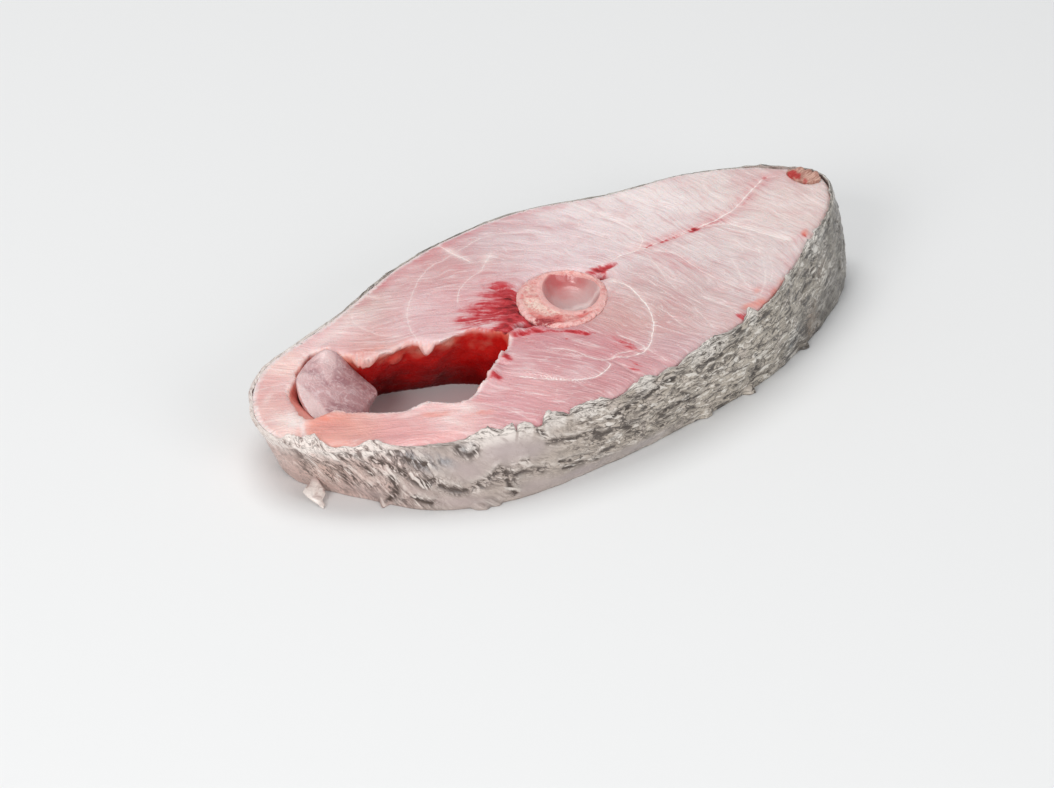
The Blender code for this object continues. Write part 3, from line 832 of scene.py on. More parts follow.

# ---------------------------------------------------------------- Backbone
# The cut vertebra sits in its socket in the flesh: porous bone round a smooth hollow of clear gristle.
# Blood shows in the pores and at the far side of the hollow, and the hollow is also painted with a pale
# highlight band and darker shade.

BONE_CELL = 0.36
HOLLOW_AT = (5.6, -2.4)
HOLLOW_LONG = 12
HOLLOW_WIDE = 8.2
HOLLOW_TURN = 55
HOLLOW_DEEP = 4.6
bone = fine_copy("backbone", "cut_vertebra", BONE_CELL)
places, outward, xy, x, y, z = shape_of(bone.data)
top = top_at(x)
below = top - z
hollow_x, hollow_y = turned(xy, HOLLOW_AT, HOLLOW_TURN)
ring = np.hypot(hollow_x / HOLLOW_LONG, hollow_y / HOLLOW_WIDE)
to_edge = rim_distance(xy, SOCKET)
# The hollow stops short of the outline, so that a low ring of bone stands all round it.
dished = ease(ring, 1, 0.62) * 0.45 + 0.55 * np.clip(1 - ring**2, 0, 1) ** 0.75
dished *= ease(to_edge, 1, 2.8)
lift = 0.05 + 0.16 * bell((to_edge - 1.6) / 0.8) - 0.4 * ease(to_edge, 1.2, 0.3)
lift += 0.16 * bell((ring - 1.12) / 0.09) * ease(to_edge, 1, 3)
lift += ease(ring, 1.02, 1.25) * (
    0.32 * bumps(places, 2.6, 41, 3) - 0.35 * ease(bumps(places, 1.7, 43), 0.35, 0.8)
)
above = z > top / 2
flat = np.where(above, top - HOLLOW_DEEP * dished + lift, HOLLOW_DEEP * dished)
keep = ease(to_edge, 0.15, 0.6) * ((np.abs(outward[:, 2]) > 0.25) | (ring < 1))
z[:] = z * (1 - keep) + flat * keep
places += outward * (1, 1, 0) * (0.35 * ease(to_edge, 0.8, 0.2) * ease(below, 5, 1))[:, None]
move_to(bone.data, places)
SMOOTHED_TIMES = 4
smoothing = bmesh.new()
smoothing.from_mesh(bone.data)
hollow_verts = [
    vert for vert, inside in zip(smoothing.verts, above & (ring < 1.1) & (to_edge > 0.8)) if inside
]
for _ in range(SMOOTHED_TIMES):
    bmesh.ops.smooth_vert(smoothing, verts=hollow_verts, factor=0.5, use_axis_z=True)
smoothing.to_mesh(bone.data)
smoothing.free()
BONE_RED = [
    (-9, 4, 4, 1.6, 50, 0.7), (-1.5, 9, 4, 1.2, 10, 0.45), (-11, -5, 2, 3, 0, 0.45),
    (-8.5, -12, 3, 1.8, 30, 0.7), (-1, -14.8, 3, 1.5, 10, 0.8), (2.5, -14, 2, 1.2, 0, 0.6),
    (-5, -4, 1.2, 3, 10, 0.55), (-12, -12, 2, 2, 0, 0.8), (11, -10.5, 1.5, 2, -40, 0.35),
    (-11.8, -10.6, 4.2, 2.2, -50, 1.5),
]
BONE_CREAM = [
    (-7.8, -2, 4.2, 5.5, 10, 0.95), (-6, -9, 3, 2.2, -20, 0.7), (-3, 6.5, 2.5, 1.2, 40, 0.5),
    (4, -14.8, 3, 0.8, 10, 0.4),
]
paint(bone.data, "hollow", hollow_x, hollow_y, np.maximum(ring, 1.25 * ease(to_edge, 3.2, 1.4)))
paint(bone.data, "bone_stain", patches(xy, BONE_RED), patches(xy, BONE_CREAM), below)
paint(bone.data, "bone_rim", to_edge)

material = new_material("cut bone")
place = put("TexCoord", result="Object")
hollow_along, hollow_across, hollow_ring = kept("hollow").parts()
stained_red, stained_cream, stained_depth = kept("bone_stain").parts()
spots = place.cloud(620, 4, 0.65)
red_level = stained_red + spots.fade(0.3, 0.7, -0.35, 0.25)
outer = laid(
    (0.66, 0.24, 0.22),
    ((0.8, 0.46, 0.42), spots.fade(0.38, 0.6)),
    ((0.86, 0.68, 0.58), stained_cream * spots.fade(0.3, 0.6)),
    ((0.62, 0.1, 0.09), red_level.fade(0.05, 0.6, 0, 0.9)),
    ((0.8, 0.45, 0.38), stained_depth.fade(1, 4)),
)
# Across the hollow the gristle goes from dark through a pale band to red: the pale band is a painted
# highlight, the dark edge is painted shade, and the red at the far side is blood with painted shade.
dish_tone_and_light = hollow_along * 0.036 + 0.5 + hollow_across * 0.012
dish_colour_and_painted_light = (dish_tone_and_light + place.cloud(170, 3).fade(0.2, 0.8, -0.07, 0.07)).ramp(
    (0.1, (0.36, 0.18, 0.175)),
    (0.26, (0.43, 0.27, 0.262)),
    (0.37, (0.74, 0.58, 0.56)),
    (0.45, (0.56, 0.36, 0.35)),
    (0.62, (0.56, 0.31, 0.3)),
    (0.84, (0.5, 0.12, 0.12)),
)
rim_tone = laid((0.8, 0.44, 0.41), ((0.7, 0.26, 0.24), spots.fade(0.46, 0.66, 0, 0.5)))
rim_red = laid((0.8, 0.47, 0.44), ((0.66, 0.2, 0.185), spots.fade(0.46, 0.64, 0, 0.8)))
bone_shade = laid(
    dish_colour_and_painted_light,
    (rim_tone, hollow_ring.fade(0.94, 1.02)),
    (outer, hollow_ring.fade(1.14, 1.24)),
    (rim_red, kept("bone_rim").parts()[0].fade(2.2, 1.2, 0, 0.9)),
    ((0.34, 0.026, 0.03), red_level.fade(0.7, 1.1)),
)
shading = {
    "Base Color": bone_shade,
    "Normal": (place.cloud(1500, 3, 0.6) * hollow_ring.fade(1, 1.2, 0.1, 1)).bump(0.6, 0.0006),
    "Roughness": hollow_ring.fade(0.9, 1.1, 0.26, 0.42),
    "Coat Weight": hollow_ring.fade(1, 0.9, 0, 0.15),
}
finish_piece(bone, "backbone", shading | soft(0.12, 0.4, 0.3, 0.002))

# ---------------------------------------------------------------- Belly fat
# A lump of greyish fat stands in the belly end of the cavity, leaning on the wall.
# Its rounded face is veined, and its upper edge is drawn out into white film.

LUMP_CELL = 0.5
UNDERCUT = np.array((-0.75, 0.35))
lump = fine_copy("belly_lump", "belly_fat", LUMP_CELL)
places, outward, xy, x, y, z = shape_of(lump.data)
lump_low = z.min()
lump_high = z.max()
share = z / lump_high
z += 2.6 * patches(xy, [(-67, 16.5, 6, 4, 20, 1)]) * ease(share, 0.3, 0.9)
z -= 3 * patches(xy, [(-59.5, 5.5, 5.5, 7, 0, 1)]) * ease(share, 0.3, 0.9)
xy -= outward[:, :2] * (1.5 * patches(xy, [(-88, 1, 7.5, 4.5, 65, 1)]) * ease(share, 0.3, 0.8))[:, None]
under = ease(x, -70, -62) * ease(y, 12, 4)
xy += UNDERCUT * (under * 3.6 * ease(share, 0.8, 0.25))[:, None]
puff = 0.55 * bumps(places, 9, 51, 2) + 0.16 * bumps(places, 2.4, 53, 2)
places += outward * (puff * ease(z, 0, 3))[:, None]
move_to(lump.data, places)
height = (z - lump_low) / (lump_high - lump_low)
edge = ease(height, 0.78, 1) * (0.6 + 0.4 * bumps(places, 5, 57))
edge = np.maximum(edge, ease(height, 0.55, 0.8) * ease(x, -80.5, -83.5))
# The second number is painted shade: the fat is darker towards the back end and near side of the lump, and
# below its top.
paint(lump.data, "lump", edge, ease(x - 0.5 * y, -86, -70) * ease(height, 1.1, 0.75))

material = new_material("belly fat")
place = put("TexCoord", result="Object")
lump_rim, lump_painted_shade, _ = kept("lump").parts()
grey_patch = place.stretched(1, 1, 0.55).cloud(190, 4, 0.6, 0.5)
vein_cloud = place.stretched(1, 1, 0.4).cloud(260, 4, 0.6, 1.2)
fat = laid(
    (0.56, 0.34, 0.345),
    ((0.37, 0.185, 0.2), grey_patch.fade(0.46, 0.62)),
    ((0.72, 0.55, 0.56), grey_patch.fade(0.42, 0.3, 0, 0.6)),
    # Painted shade on the lump.
    ((0.34, 0.155, 0.165), lump_painted_shade * 0.6),
    ((0.76, 0.6, 0.6), abs(vein_cloud - 0.5).fade(0.035, 0.005) * 0.45),
    ((0.84, 0.66, 0.64), lump_rim.fade(0.3, 1, 0, 0.62)),
)
wet_height, wet_roughness = moisture()
shading = {
    "Base Color": fat,
    "Normal": (vein_cloud + wet_height).bump(0.35, 0.0006),
    "Roughness": wet_roughness,
}
finish_piece(lump, "belly_lump", shading | soft(0.15, 0.5, 0.45, 0.003))

# ---------------------------------------------------------------- Fin root
# The stump of a back fin ray: a bundle of brown bony strands bedded in the flesh at the back.
# It splays out sideways where it was cut.

FIN_CELL = 0.35
FIN_AT = (100.2, 0)
FIN_SIDEWAYS = np.array((0.74, -0.67))
fin = fine_copy("fin_root", "fin_ray_root", FIN_CELL)
places, outward, xy, x, y, z = shape_of(fin.data)
strand = np.sin((y - FIN_AT[1]) * 2.6 + 1.6 * bumps(places, 3, 61))
below = top_at(x) - z
z += (0.35 * strand + 0.9 * bumps(places, 2.4, 63, 2)) * ease(below, 3, 0)
z += 0.9 * ease(below, 2, 0) * ease(x, 98, 102)
xy += FIN_SIDEWAYS * (0.38 * ((xy - FIN_AT) @ FIN_SIDEWAYS) * ease(below, 3, 0.6))[:, None]
z += 0.25 * ease(below, 2, 0)
move_to(fin.data, places)
paint(fin.data, "fin", patches(xy, [(98.2, 2, 1.6, 2.4, 20, 1), (98.5, -2.6, 1, 1, 0, 0.5)]))

material = new_material("fin root")
place = put("TexCoord", result="Object")
streaks = place.stretched(400, 2600, 500).cloud(1, 3, 0.6)
bony = laid(
    (0.36, 0.17, 0.13),
    ((0.62, 0.38, 0.3), streaks.fade(0.4, 0.62)),
    ((0.42, 0.03, 0.025), (kept("fin").parts()[0] + streaks).fade(0.7, 1.1)),
)
shading = {"Base Color": bony, "Normal": streaks.bump(0.6, 0.0006), "Roughness": 0.4}
finish_piece(fin, "fin_root", shading)

# ---------------------------------------------------------------- Skin
# Skin wraps the flank. Its scales are gone: it is pale, soft and folded at the belly, and wrinkled like bark
# towards the back. The knife has torn its upper edge into silvery flaps that curl over the rim of the flesh.

SKIN_FROM = (0, -4)
SKIN_CAST = 220
SKIN_TURNS = 1440
SKIN_STATIONS = 1200
SKIN_ROWS = 54
LIP_ROWS = 8
SKIN_LEVELS = np.linspace(0.05, 0.94, 8)
SKIN_FOOT = 0.15
HEAD_SHARE = 0.955
SKIN_THICK = 1.1
EDGE_THICK = 0.2

skin_solid = welded("skin")
for vert in skin_solid.verts:
    vert.co = Vector(np.array(vert.co) / MM + shift)
skin_tree = BVHTree.FromBMesh(skin_solid)
skin_solid.free()
turns = np.radians(90 + np.arange(SKIN_TURNS) * 360 / SKIN_TURNS)


def cast(turn, height):
    """Where a level line from far outside first meets the skin."""
    out = Vector((math.cos(turn), math.sin(turn), 0))
    start = Vector((*SKIN_FROM, height)) + out * SKIN_CAST
    return np.array(skin_tree.ray_cast(start, -out)[0])


base_x = [cast(turn, 5)[0] for turn in turns]
levels = np.array([
    [cast(turn, share * top_at(x)) for turn, x in zip(turns, base_x)] for share in SKIN_LEVELS
])

# Stations are spaced evenly along the flank, starting on the far side and passing round the belly first.
half_way = levels[len(SKIN_LEVELS) // 2]
strides = np.linalg.norm(np.roll(half_way, -1, axis=0) - half_way, axis=1)
walked = np.concatenate([[0], np.cumsum(strides)])
stride = walked[-1] / SKIN_STATIONS
station = np.arange(SKIN_STATIONS) * stride
turn_at = np.interp(station, walked, np.arange(SKIN_TURNS + 1))
lower_turn = np.floor(turn_at).astype(int)
part = (turn_at - lower_turn)[None, :, None]
levels = levels[:, lower_turn % SKIN_TURNS] * (1 - part) + levels[:, (lower_turn + 1) % SKIN_TURNS] * part


def wall_at(share):
    """The skin's outer face at a share of its height, at every station. Past the last levels it goes on."""
    spot = (share - SKIN_LEVELS[0]) / (SKIN_LEVELS[1] - SKIN_LEVELS[0])
    k = int(np.clip(np.floor(spot), 0, len(SKIN_LEVELS) - 2))
    line = levels[k] + (levels[k + 1] - levels[k]) * (spot - k)
    line[:, 2] = share * top_at(line[:, 0])
    return line


mid_line = wall_at(0.5)
tangent = np.roll(mid_line, -1, axis=0) - np.roll(mid_line, 1, axis=0)
outwards = np.stack([tangent[:, 1], -tangent[:, 0], np.zeros(SKIN_STATIONS)], axis=1)
outwards /= np.linalg.norm(outwards, axis=1)[:, None]
outwards *= np.sign((outwards[:, :2] * (mid_line[:, :2] - SKIN_FROM)).sum(1))[:, None]
skin_x = mid_line[:, 0]
on_near = ease(mid_line[:, 1], -6.5, -10)
on_far = 1 - on_near
head_x = wall_at(1)[:, 0]

# The grain of the skin runs steeply down at the belly end and nearly level along the back. Places are counted
# along the grain round a ring, so that the pattern closes, and across the grain.
run = np.clip(3 * np.gradient(skin_x, station), -1, 1)
lean = np.radians(
    np.interp(skin_x, [-107, -88, -66, -40, -10, 25, 107], [-64, -50, -30, -15, -8, 0, 2])
) * run
grain_walk = np.cumsum(np.cos(lean)) * stride
grain_ring = grain_walk[-1] / (2 * math.pi)
drift = np.cumsum(np.sin(lean)) * stride
drift -= np.linspace(0, drift[-1], SKIN_STATIONS)


def on_skin(z):
    """Places on the skin at heights for every station: two numbers round the ring, one across the grain."""
    angle = (grain_walk + z * np.sin(lean)) / grain_ring
    return np.stack(
        [grain_ring * np.cos(angle), grain_ring * np.sin(angle), z * np.cos(lean) - drift], axis=-1
    )


def skin_bumps(spots, along, across, seed, layers=1):
    """Random bumps on the skin, drawn out along its grain."""
    return bumps(spots.reshape(-1, 3), (along, along, across), seed, layers).reshape(spots.shape[:-1])


def shingle(fall, pitch, wave):
    """Overlapping folds: 0 at the lower edge of a fold, rising to 1 just under the edge of the one above."""
    return (fall / pitch + wave) % 1


# Deep folds on the near side: strength, half width, then x and height of each point.
FOLDS = [
    (0.8, 0.35, -95.5, 12.5, -94, 9.5, -92.3, 6, -91, 4), (0.8, 0.35, -93.8, 12, -92.6, 9.2, -91.2, 6.6),
    (0.9, 0.4, -93.2, 14.8, -91.3, 13, -90, 10.9, -88.9, 9.2),
    (0.6, 0.45, -98.5, 17.6, -96.6, 16.7, -94.3, 16.8, -92.5, 17.4),
    (0.7, 0.7, -90.4, 18.2, -88, 18.4, -85.5, 18, -82.4, 17.2),
    (1, 0.6, -90.3, 17, -89.4, 14.9, -87.7, 14, -86.1, 13.3, -84.1, 11.7, -82.3, 10.2),
    (1, 0.8, -83.2, 11, -81.4, 9.2, -79.6, 8.3, -78, 9, -77.6, 10.4),
    (0.8, 0.45, -87.3, 17.1, -85.6, 16.4, -84.6, 14.2),
    (0.9, 0.55, -84.2, 16.2, -82.2, 14.8, -79.8, 14.2, -77.8, 14.4),
    (0.9, 0.55, -77.6, 8.2, -75.3, 7.1, -73.4, 6.3, -71.5, 5.7, -69.6, 6.1),
    (0.9, 0.6, -70, 6.6, -68, 7, -66, 7.5, -64, 8.8, -61.9, 10.2, -60, 11),
    (0.9, 0.45, -86.8, 11.2, -85.6, 8.2, -85, 6, -85, 3.2, -85.8, 0.5),
    (0.9, 0.6, -82.4, 4.4, -80.4, 3.1, -77.5, 2.3), (0.6, 0.4, -90.2, 6.6, -88.7, 5.6, -87.6, 7.4),
    (0.9, 0.5, -71.2, 19, -70.6, 16.4, -68.6, 15.3, -66.7, 16.6, -66.5, 19),
    (0.6, 0.4, -103, 15.8, -101.5, 14, -99.8, 11, -98.2, 7),
    (0.8, 0.45, -56.5, 11.4, -54.8, 11, -52.6, 11.2),
    (1, 0.45, -60.2, 10.6, -60, 8.2, -59.3, 5.2, -57.6, 2.6, -56.6, 1.4),
    (0.8, 0.5, -58.8, 7.8, -55, 8.4, -51, 7.9, -47.5, 6.4),
    (0.9, 0.4, -44.5, 8, -41, 7.4, -37.5, 7.1, -33.4, 6.6),
    (0.9, 0.5, -43, 5.6, -39, 4.9, -34, 5.3, -28, 3.4),
    (0.8, 0.55, -48.5, 14.8, -44.6, 14.6, -39, 13.4, -33.3, 13.2, -28, 11.6, -23, 12),
    (0.8, 0.5, -49.9, 19.4, -48.2, 17.4, -47.2, 15.2), (0.8, 0.45, -36.4, 18.8, -34.8, 17, -33, 16.2),
    (1, 0.6, -30, 15.6, -24, 16.2, -19.3, 16.6, -13.8, 17.5, -8.3, 18.6, -2, 19.2, 5.2, 19.4),
    (0.9, 0.6, 5, 19.3, 13, 18.9, 22, 19.4, 30, 20.2),
    (0.9, 0.55, -24, 11.4, -18, 9.9, -13.6, 9.4, -8, 10.3, 0.4, 10.6, 6, 9.6, 14, 9),
    (0.8, 0.45, -2.7, 16.6, 0.5, 14.6, 3, 12.4, 6, 9),
    (0.9, 0.5, 31.7, 1.5, 33.2, 4.8, 35, 8.2, 34.4, 12, 31.5, 14.4),
    (0.7, 0.5, 44.5, 3, 48.4, 6.3, 53.9, 7.7, 58, 11),
    (0.8, 0.6, 62, 16.8, 66, 18.4, 69.9, 17.8, 70.4, 21.5),
]
# Where the near side is smooth and clear, bluish, or brown: (x, height, half length, half height, turn,
# strength).
CLEAR_SKIN = [
    (-60, 15.4, 9, 4.2, -3, 1), (-69.5, 11.5, 5, 3, -20, 0.9), (-52, 14, 6, 2.6, 0, 0.9),
    (-88, 3, 4, 2.2, -30, 0.6), (-72, 2.6, 8, 2.2, -5, 0.8), (-81.5, 7, 2.6, 1.6, -20, 0.5),
    (-52, 3, 6, 2.6, 0, 0.7), (-36, 2, 14, 1.9, 0, 1), (-12, 2, 14, 1.7, 0, 0.9),
]
BLUE_SKIN = [
    (-80.5, 15.6, 5, 2.4, -35, 1), (-75, 14.8, 3.5, 1.1, -30, 0.7), (-68.7, 17.3, 2, 1.6, 0, 0.9),
    (56, 5, 3.2, 5.5, -25, 0.9), (-86.5, 11, 1.6, 1.6, 0, 0.4),
]
BROWN_SKIN = [
    (69, 5.5, 3.4, 5.5, -25, 0.9), (77, 17, 4, 3, 20, 0.6), (-96, 12, 5, 5, 0, 0.25),
]
# Where the pale belly skin is speckled and lined: the same six numbers.
BUSY_SKIN = [
    (-98, 15.5, 6, 4, 0, 0.75), (-95, 9, 5, 4.5, -40, 0.5), (-86, 17, 6, 2.4, -5, 1),
    (-83.5, 13.5, 3.4, 2.6, -30, 0.9), (-88.5, 12.5, 4, 3.6, -40, 0.65), (-79.5, 10.5, 4, 1.8, -20, 0.9),
    (-77.5, 14.4, 4.5, 1.2, -10, 0.6), (-73.5, 6.6, 4.5, 1.6, -10, 0.9), (-64.5, 8, 7, 1.8, 18, 1),
    (-85.6, 4.5, 2, 4, 10, 0.9), (-79.5, 3.4, 4, 1.6, -10, 0.85), (-69, 17, 3, 2.4, 0, 0.8),
    (-58.5, 7, 3, 4.5, 0, 0.8), (-66, 1.5, 6, 1.2, 0, 0.5), (-92, 5.5, 8, 3, -20, 0.65),
    (-84, 1.8, 7, 2, 0, 0.6), (-100, 8, 4, 6, -40, 0.45), (-50, 8, 5, 2.6, 0, 0.6),
]
# How far the torn edge reaches in over the flesh along the near side, and how far out it stays where it
# is low.
RIM_REACH = [
    (-106, 1.5), (-105.2, 5.2), (-103.8, 5.6), (-101.6, 7.2), (-99.6, 4.8), (-98.4, 2.2), (-96.3, 2.4),
    (-93.7, 3.4), (-92.3, 4.8), (-89.6, 5.2), (-87.8, 4), (-86.2, 1.9), (-82.8, 1.1), (-77, 0.9), (-71, 1),
    (-68.6, 1.8), (-65, 4.2), (-62.2, 5.8), (-60.4, 4.4), (-58.7, 3), (-57.2, 4), (-55.4, 4.7),
    (-54.9, -1.8), (-54.3, 3.6), (-52.2, 4), (-50.3, 1.8), (-49.4, -1.6), (-47.4, -0.6), (-46.6, 3),
    (-45, 5.4), (-42.4, 3.8), (-40.4, 2.2), (-38.9, -0.4), (-38, 2), (-35.8, 3.2), (-32.8, 3.4),
    (-30.4, 2.2), (-27.6, 2.4), (-26.2, 0.6), (-24.8, -2), (-22.6, -1.2), (-19.6, -0.2), (-17, 2),
    (-12, 3.4), (-10, 2.2), (-8.2, -0.5), (-5.4, 0.6), (-3, 1.3), (-0.4, -0.8), (2.6, 1.2), (5, 2.4),
    (8.4, 2.8), (15, 3), (20, 1.9), (24.6, 0.6), (29, -0.6), (31.6, 1.6), (33.6, 5), (34.8, 2.4),
    (36.4, -0.4), (43, 0.2), (49.6, -0.2), (53.8, 0.6), (55, 2.7), (56.4, 0.8), (61.7, 1.2), (68.6, 1.9),
    (73.4, 4.2), (75.4, 2), (78.2, 3.6), (80.4, 2.4), (83.4, 1.3), (87, 1.6), (92, 1.1), (97, 1.6),
    (103, 1.7), (106, 2.2),
]
# Scraps of skin that hang out of the foot of the near side: (x, y, half width, how far out).
FOOT_SCRAPS = [
    (-85.5, -29, 1.7, 2.6), (-66, -45.5, 2.2, 1.8), (-62.5, -47, 1.3, 1.2), (14.5, -53, 1.4, 1.3),
    (33, -49.5, 1.2, 2), (63, -38, 1.8, 1.6),
]

foot_share = SKIN_FOOT / THICK_MIDDLE
row_share = np.linspace(0, 1, SKIN_ROWS)
outer_rows = np.array([wall_at(foot_share + (HEAD_SHARE - foot_share) * share) for share in row_share])
row_share = row_share[:, None]
row_x = outer_rows[..., 0].copy()
spots = on_skin(outer_rows[..., 2])
side_spots = outer_rows[..., (0, 2)].reshape(-1, 2)


def near_patches(ovals):
    """Soft ovals on the near side of the skin only."""
    return patches(side_spots, ovals).reshape(row_x.shape) * on_near


clear = near_patches(CLEAR_SKIN)
bark = ease(row_x, -56, -14) * (1 - 0.95 * clear)
busy = np.maximum(bark, 0.9 * near_patches(BUSY_SKIN))
cloth = (1 - 0.75 * bark) * (1 - 0.85 * clear) * (0.35 + 0.65 * busy)
big_fold = shingle(spots[..., 2], 4.6, 1.3 * skin_bumps(spots, 10, 5.5, 71, 2))
big_share = ease(skin_bumps(spots, 8, 4, 73, 2), -0.05, 0.35) * cloth
small_fold = shingle(spots[..., 2], 1.9, 1.5 * skin_bumps(spots, 8, 3.2, 75, 2))
small_share = ease(skin_bumps(spots, 6, 2.4, 77, 2), -0.3, 0.2) * bark
mark, shows = line_marks(side_spots, FOLDS, 3)
mark = mark.reshape(row_x.shape) + 0.7 * skin_bumps(spots, 3, 1.6, 79, 2)
shows = shows.reshape(row_x.shape) * on_near
deep = bell(0.62 * mark) * shows
beside = bell(0.3 * mark)
brow = bell((mark - 3) * 0.7) * shows
busy = np.maximum(busy, 0.85 * beside * shows)
clear *= 1 - 0.8 * beside * shows

height = 0.55 * skin_bumps(spots, 15, 9, 81, 2) + 0.2 * skin_bumps(spots, 4.5, 3, 83, 2)
height += 0.3 * (1 - big_fold) * big_share + 0.34 * (1 - small_fold) * small_share
height += (0.07 + 0.1 * busy) * skin_bumps(spots, 2.6, 1, 85, 2)
height += 0.26 * brow - 0.45 * deep
collar = ease(row_x, -86, -96) * ease(row_share, 0.55, 0.9) * on_near
height += collar * (0.5 + 1.1 * skin_bumps(spots, 4, 2.6, 87, 2))
height *= ease(row_share, 0, 0.06)
scraps = np.zeros(SKIN_STATIONS)
for *spot, half, out in FOOT_SCRAPS:
    away = away_from(outer_rows[0, :, :2], spot)
    scraps = np.maximum(scraps, out * ease(np.abs(away - away.min()), half, 0) * on_near)
edge_spots = on_skin(np.zeros(SKIN_STATIONS))
foot_out = scraps * (
    1 + 0.25 * skin_bumps(edge_spots, 1.3, 1.3, 89)
) + 0.3 * skin_bumps(edge_spots, 5, 5, 91, 2)
height += ease(row_share, 0.16, 0) ** 2 * foot_out
outer_rows += outwards * height[..., None]

# The torn edge: it goes up, then curls in. A low stretch stays out on the flank.
at_back = ease(skin_x, 90, 98)
far_reach = 0.7 + 1.7 * ease(skin_bumps(edge_spots, 6, 6, 93, 2), 0.2, 0.75)
for middle, half, out in [(-34, 3, 2.2), (-22.5, 3.5, 1.6), (-2, 3, 1.2), (-58, 6, 1.5)]:
    far_reach += out * ease(np.abs(skin_x - middle), half, 0.3 * half) * (
        0.6 + skin_bumps(edge_spots, 2.2, 2.2, 90)
    )
far_reach += at_back * (0.9 + 1.6 * skin_bumps(edge_spots, 2.4, 2.4, 92)) + 0.6 * ease(skin_x, -84, -98)
reach = np.interp(head_x, *zip(*RIM_REACH)) * on_near + far_reach * on_far
# Its margin is torn into small points of uneven length.
tear = grain_walk / 1.7 + 0.9 * skin_bumps(edge_spots, 4, 4, 94)
tooth = np.floor(tear).astype(np.int64)
point = 1 - np.abs(2 * (tear - tooth) - 1)
length = hashed(tooth[:, None] * (1, 0, 0), 96)
reach += (0.15 + 0.18 * np.clip(reach, 0, 5)) * (1.3 * point * length - 0.45)
reach += (0.25 + 0.18 * np.maximum(reach, 0)) * skin_bumps(edge_spots, 3, 3, 95, 2)
rise = np.clip((reach - 0.9) / 2.5, -0.9, 3.4)
lean_in = 0.64 + 0.29 * np.maximum(reach, -1.5)
edge_low = 0.35 + 0.65 * on_far * (1 - at_back) * ease(skin_x, -96, -84)
lip_share = np.arange(1, LIP_ROWS + 1) / LIP_ROWS
lip_spots = np.array([on_skin(top_at(skin_x) + 5 * share) for share in lip_share])
lip_rows = []
for share, line_spots in zip(lip_share, lip_spots):
    line = outer_rows[-1] - outwards * (lean_in * share**1.5)[:, None]
    line[:, 2] += (top_at(head_x) * (1 - HEAD_SHARE) - edge_low + rise) * np.sin(share * math.pi / 2)
    crinkle = 0.5 - 2.2 * np.abs(skin_bumps(line_spots, 2, 2.6, 97, 2))
    crinkle *= 0.22 + 0.3 * np.maximum(rise, 0)
    line += outwards * (crinkle * share)[:, None]
    line[:, 2] += 0.4 * crinkle * share
    lip_rows.append(line)
inner_rows = [line - outwards * EDGE_THICK - (0, 0, EDGE_THICK) for line in lip_rows[:0:-2]]
for share in (0.9, 0.7, 0.5, 0.3, 0.1, 0):
    inner_rows.append(wall_at(foot_share + (HEAD_SHARE - foot_share) * share) - outwards * SKIN_THICK)


def tube(name, rows, ends=False):
    """A tube from rows of places that each run right round. It has flat ends, or closes on itself."""
    index = np.arange(rows.size // 3).reshape(rows.shape[:2])
    after = np.roll(index, -1, axis=0)
    quads = np.stack([index, np.roll(index, -1, axis=1), np.roll(after, -1, axis=1), after], axis=-1)
    faces = quads[: len(rows) - ends].reshape(-1, 4).tolist()
    if ends:
        faces += [index[0, ::-1].tolist(), index[-1].tolist()]
    mesh = bpy.data.meshes.new(name)
    mesh.from_pydata(((rows.reshape(-1, 3) - shift) * MM).tolist(), [], faces)
    mesh.shade_smooth()
    return placed(name, mesh)


skin = tube("scaled_skin", np.concatenate([outer_rows, lip_rows, inner_rows]))

# A rag of skin and fat hangs from the foot at the belly end: (x, y, z, half width, half thickness).
RAG = [
    (-94.4, -9.8, 5.8, 1.2, 0.8), (-96, -12, 4.4, 1.3, 0.9), (-97.2, -13.4, 3.5, 1.7, 1.1),
    (-98.4, -14.8, 2.5, 3, 1.2), (-99, -16.6, 1.7, 2.5, 1), (-99.5, -18.2, 1.1, 1.2, 0.6),
    (-99.8, -19.6, 0.7, 0.8, 0.4), (-100.3, -20.8, 0.4, 0.2, 0.2),
]
RAG_STEPS = 26
RAG_ROUND = 14
rag_along = np.linspace(0, len(RAG) - 1, RAG_STEPS)
rag_line = np.stack([np.interp(rag_along, range(len(RAG)), column) for column in np.array(RAG).T], axis=1)
rag_way = np.gradient(rag_line[:, :3], axis=0)
rag_way /= np.linalg.norm(rag_way, axis=1)[:, None]
rag_side = np.cross(rag_way, (0, 0, 1))
rag_side /= np.linalg.norm(rag_side, axis=1)[:, None]
rag_up = np.cross(rag_side, rag_way)
rag_turn = np.arange(RAG_ROUND) * 2 * math.pi / RAG_ROUND
rag_rows = rag_line[:, None, :3] + rag_side[:, None] * (rag_line[:, 3:4] * np.cos(rag_turn))[..., None]
rag_rows = rag_rows + rag_up[:, None] * (rag_line[:, 4:5] * np.sin(rag_turn))[..., None]
rag_rows += 0.75 * bumps(
    rag_rows.reshape(-1, 3), 1.9, 98, 2
).reshape(RAG_STEPS, RAG_ROUND, 1) * rag_side[:, None]
rag_rows[..., 2] = np.maximum(rag_rows[..., 2], 0)
rag = tube("skin_rag", rag_rows, ends=True)
paint(rag.data, "skin_at", *rag_rows.reshape(-1, 3).T)
paint(rag.data, "skin_form", 0, 0, 0.5)
paint(rag.data, "skin_zone", 1, 0, np.repeat(ease(rag_along, 1.2, 2.8), RAG_ROUND))
paint(rag.data, "skin_stain", 0, 0, 0.15)
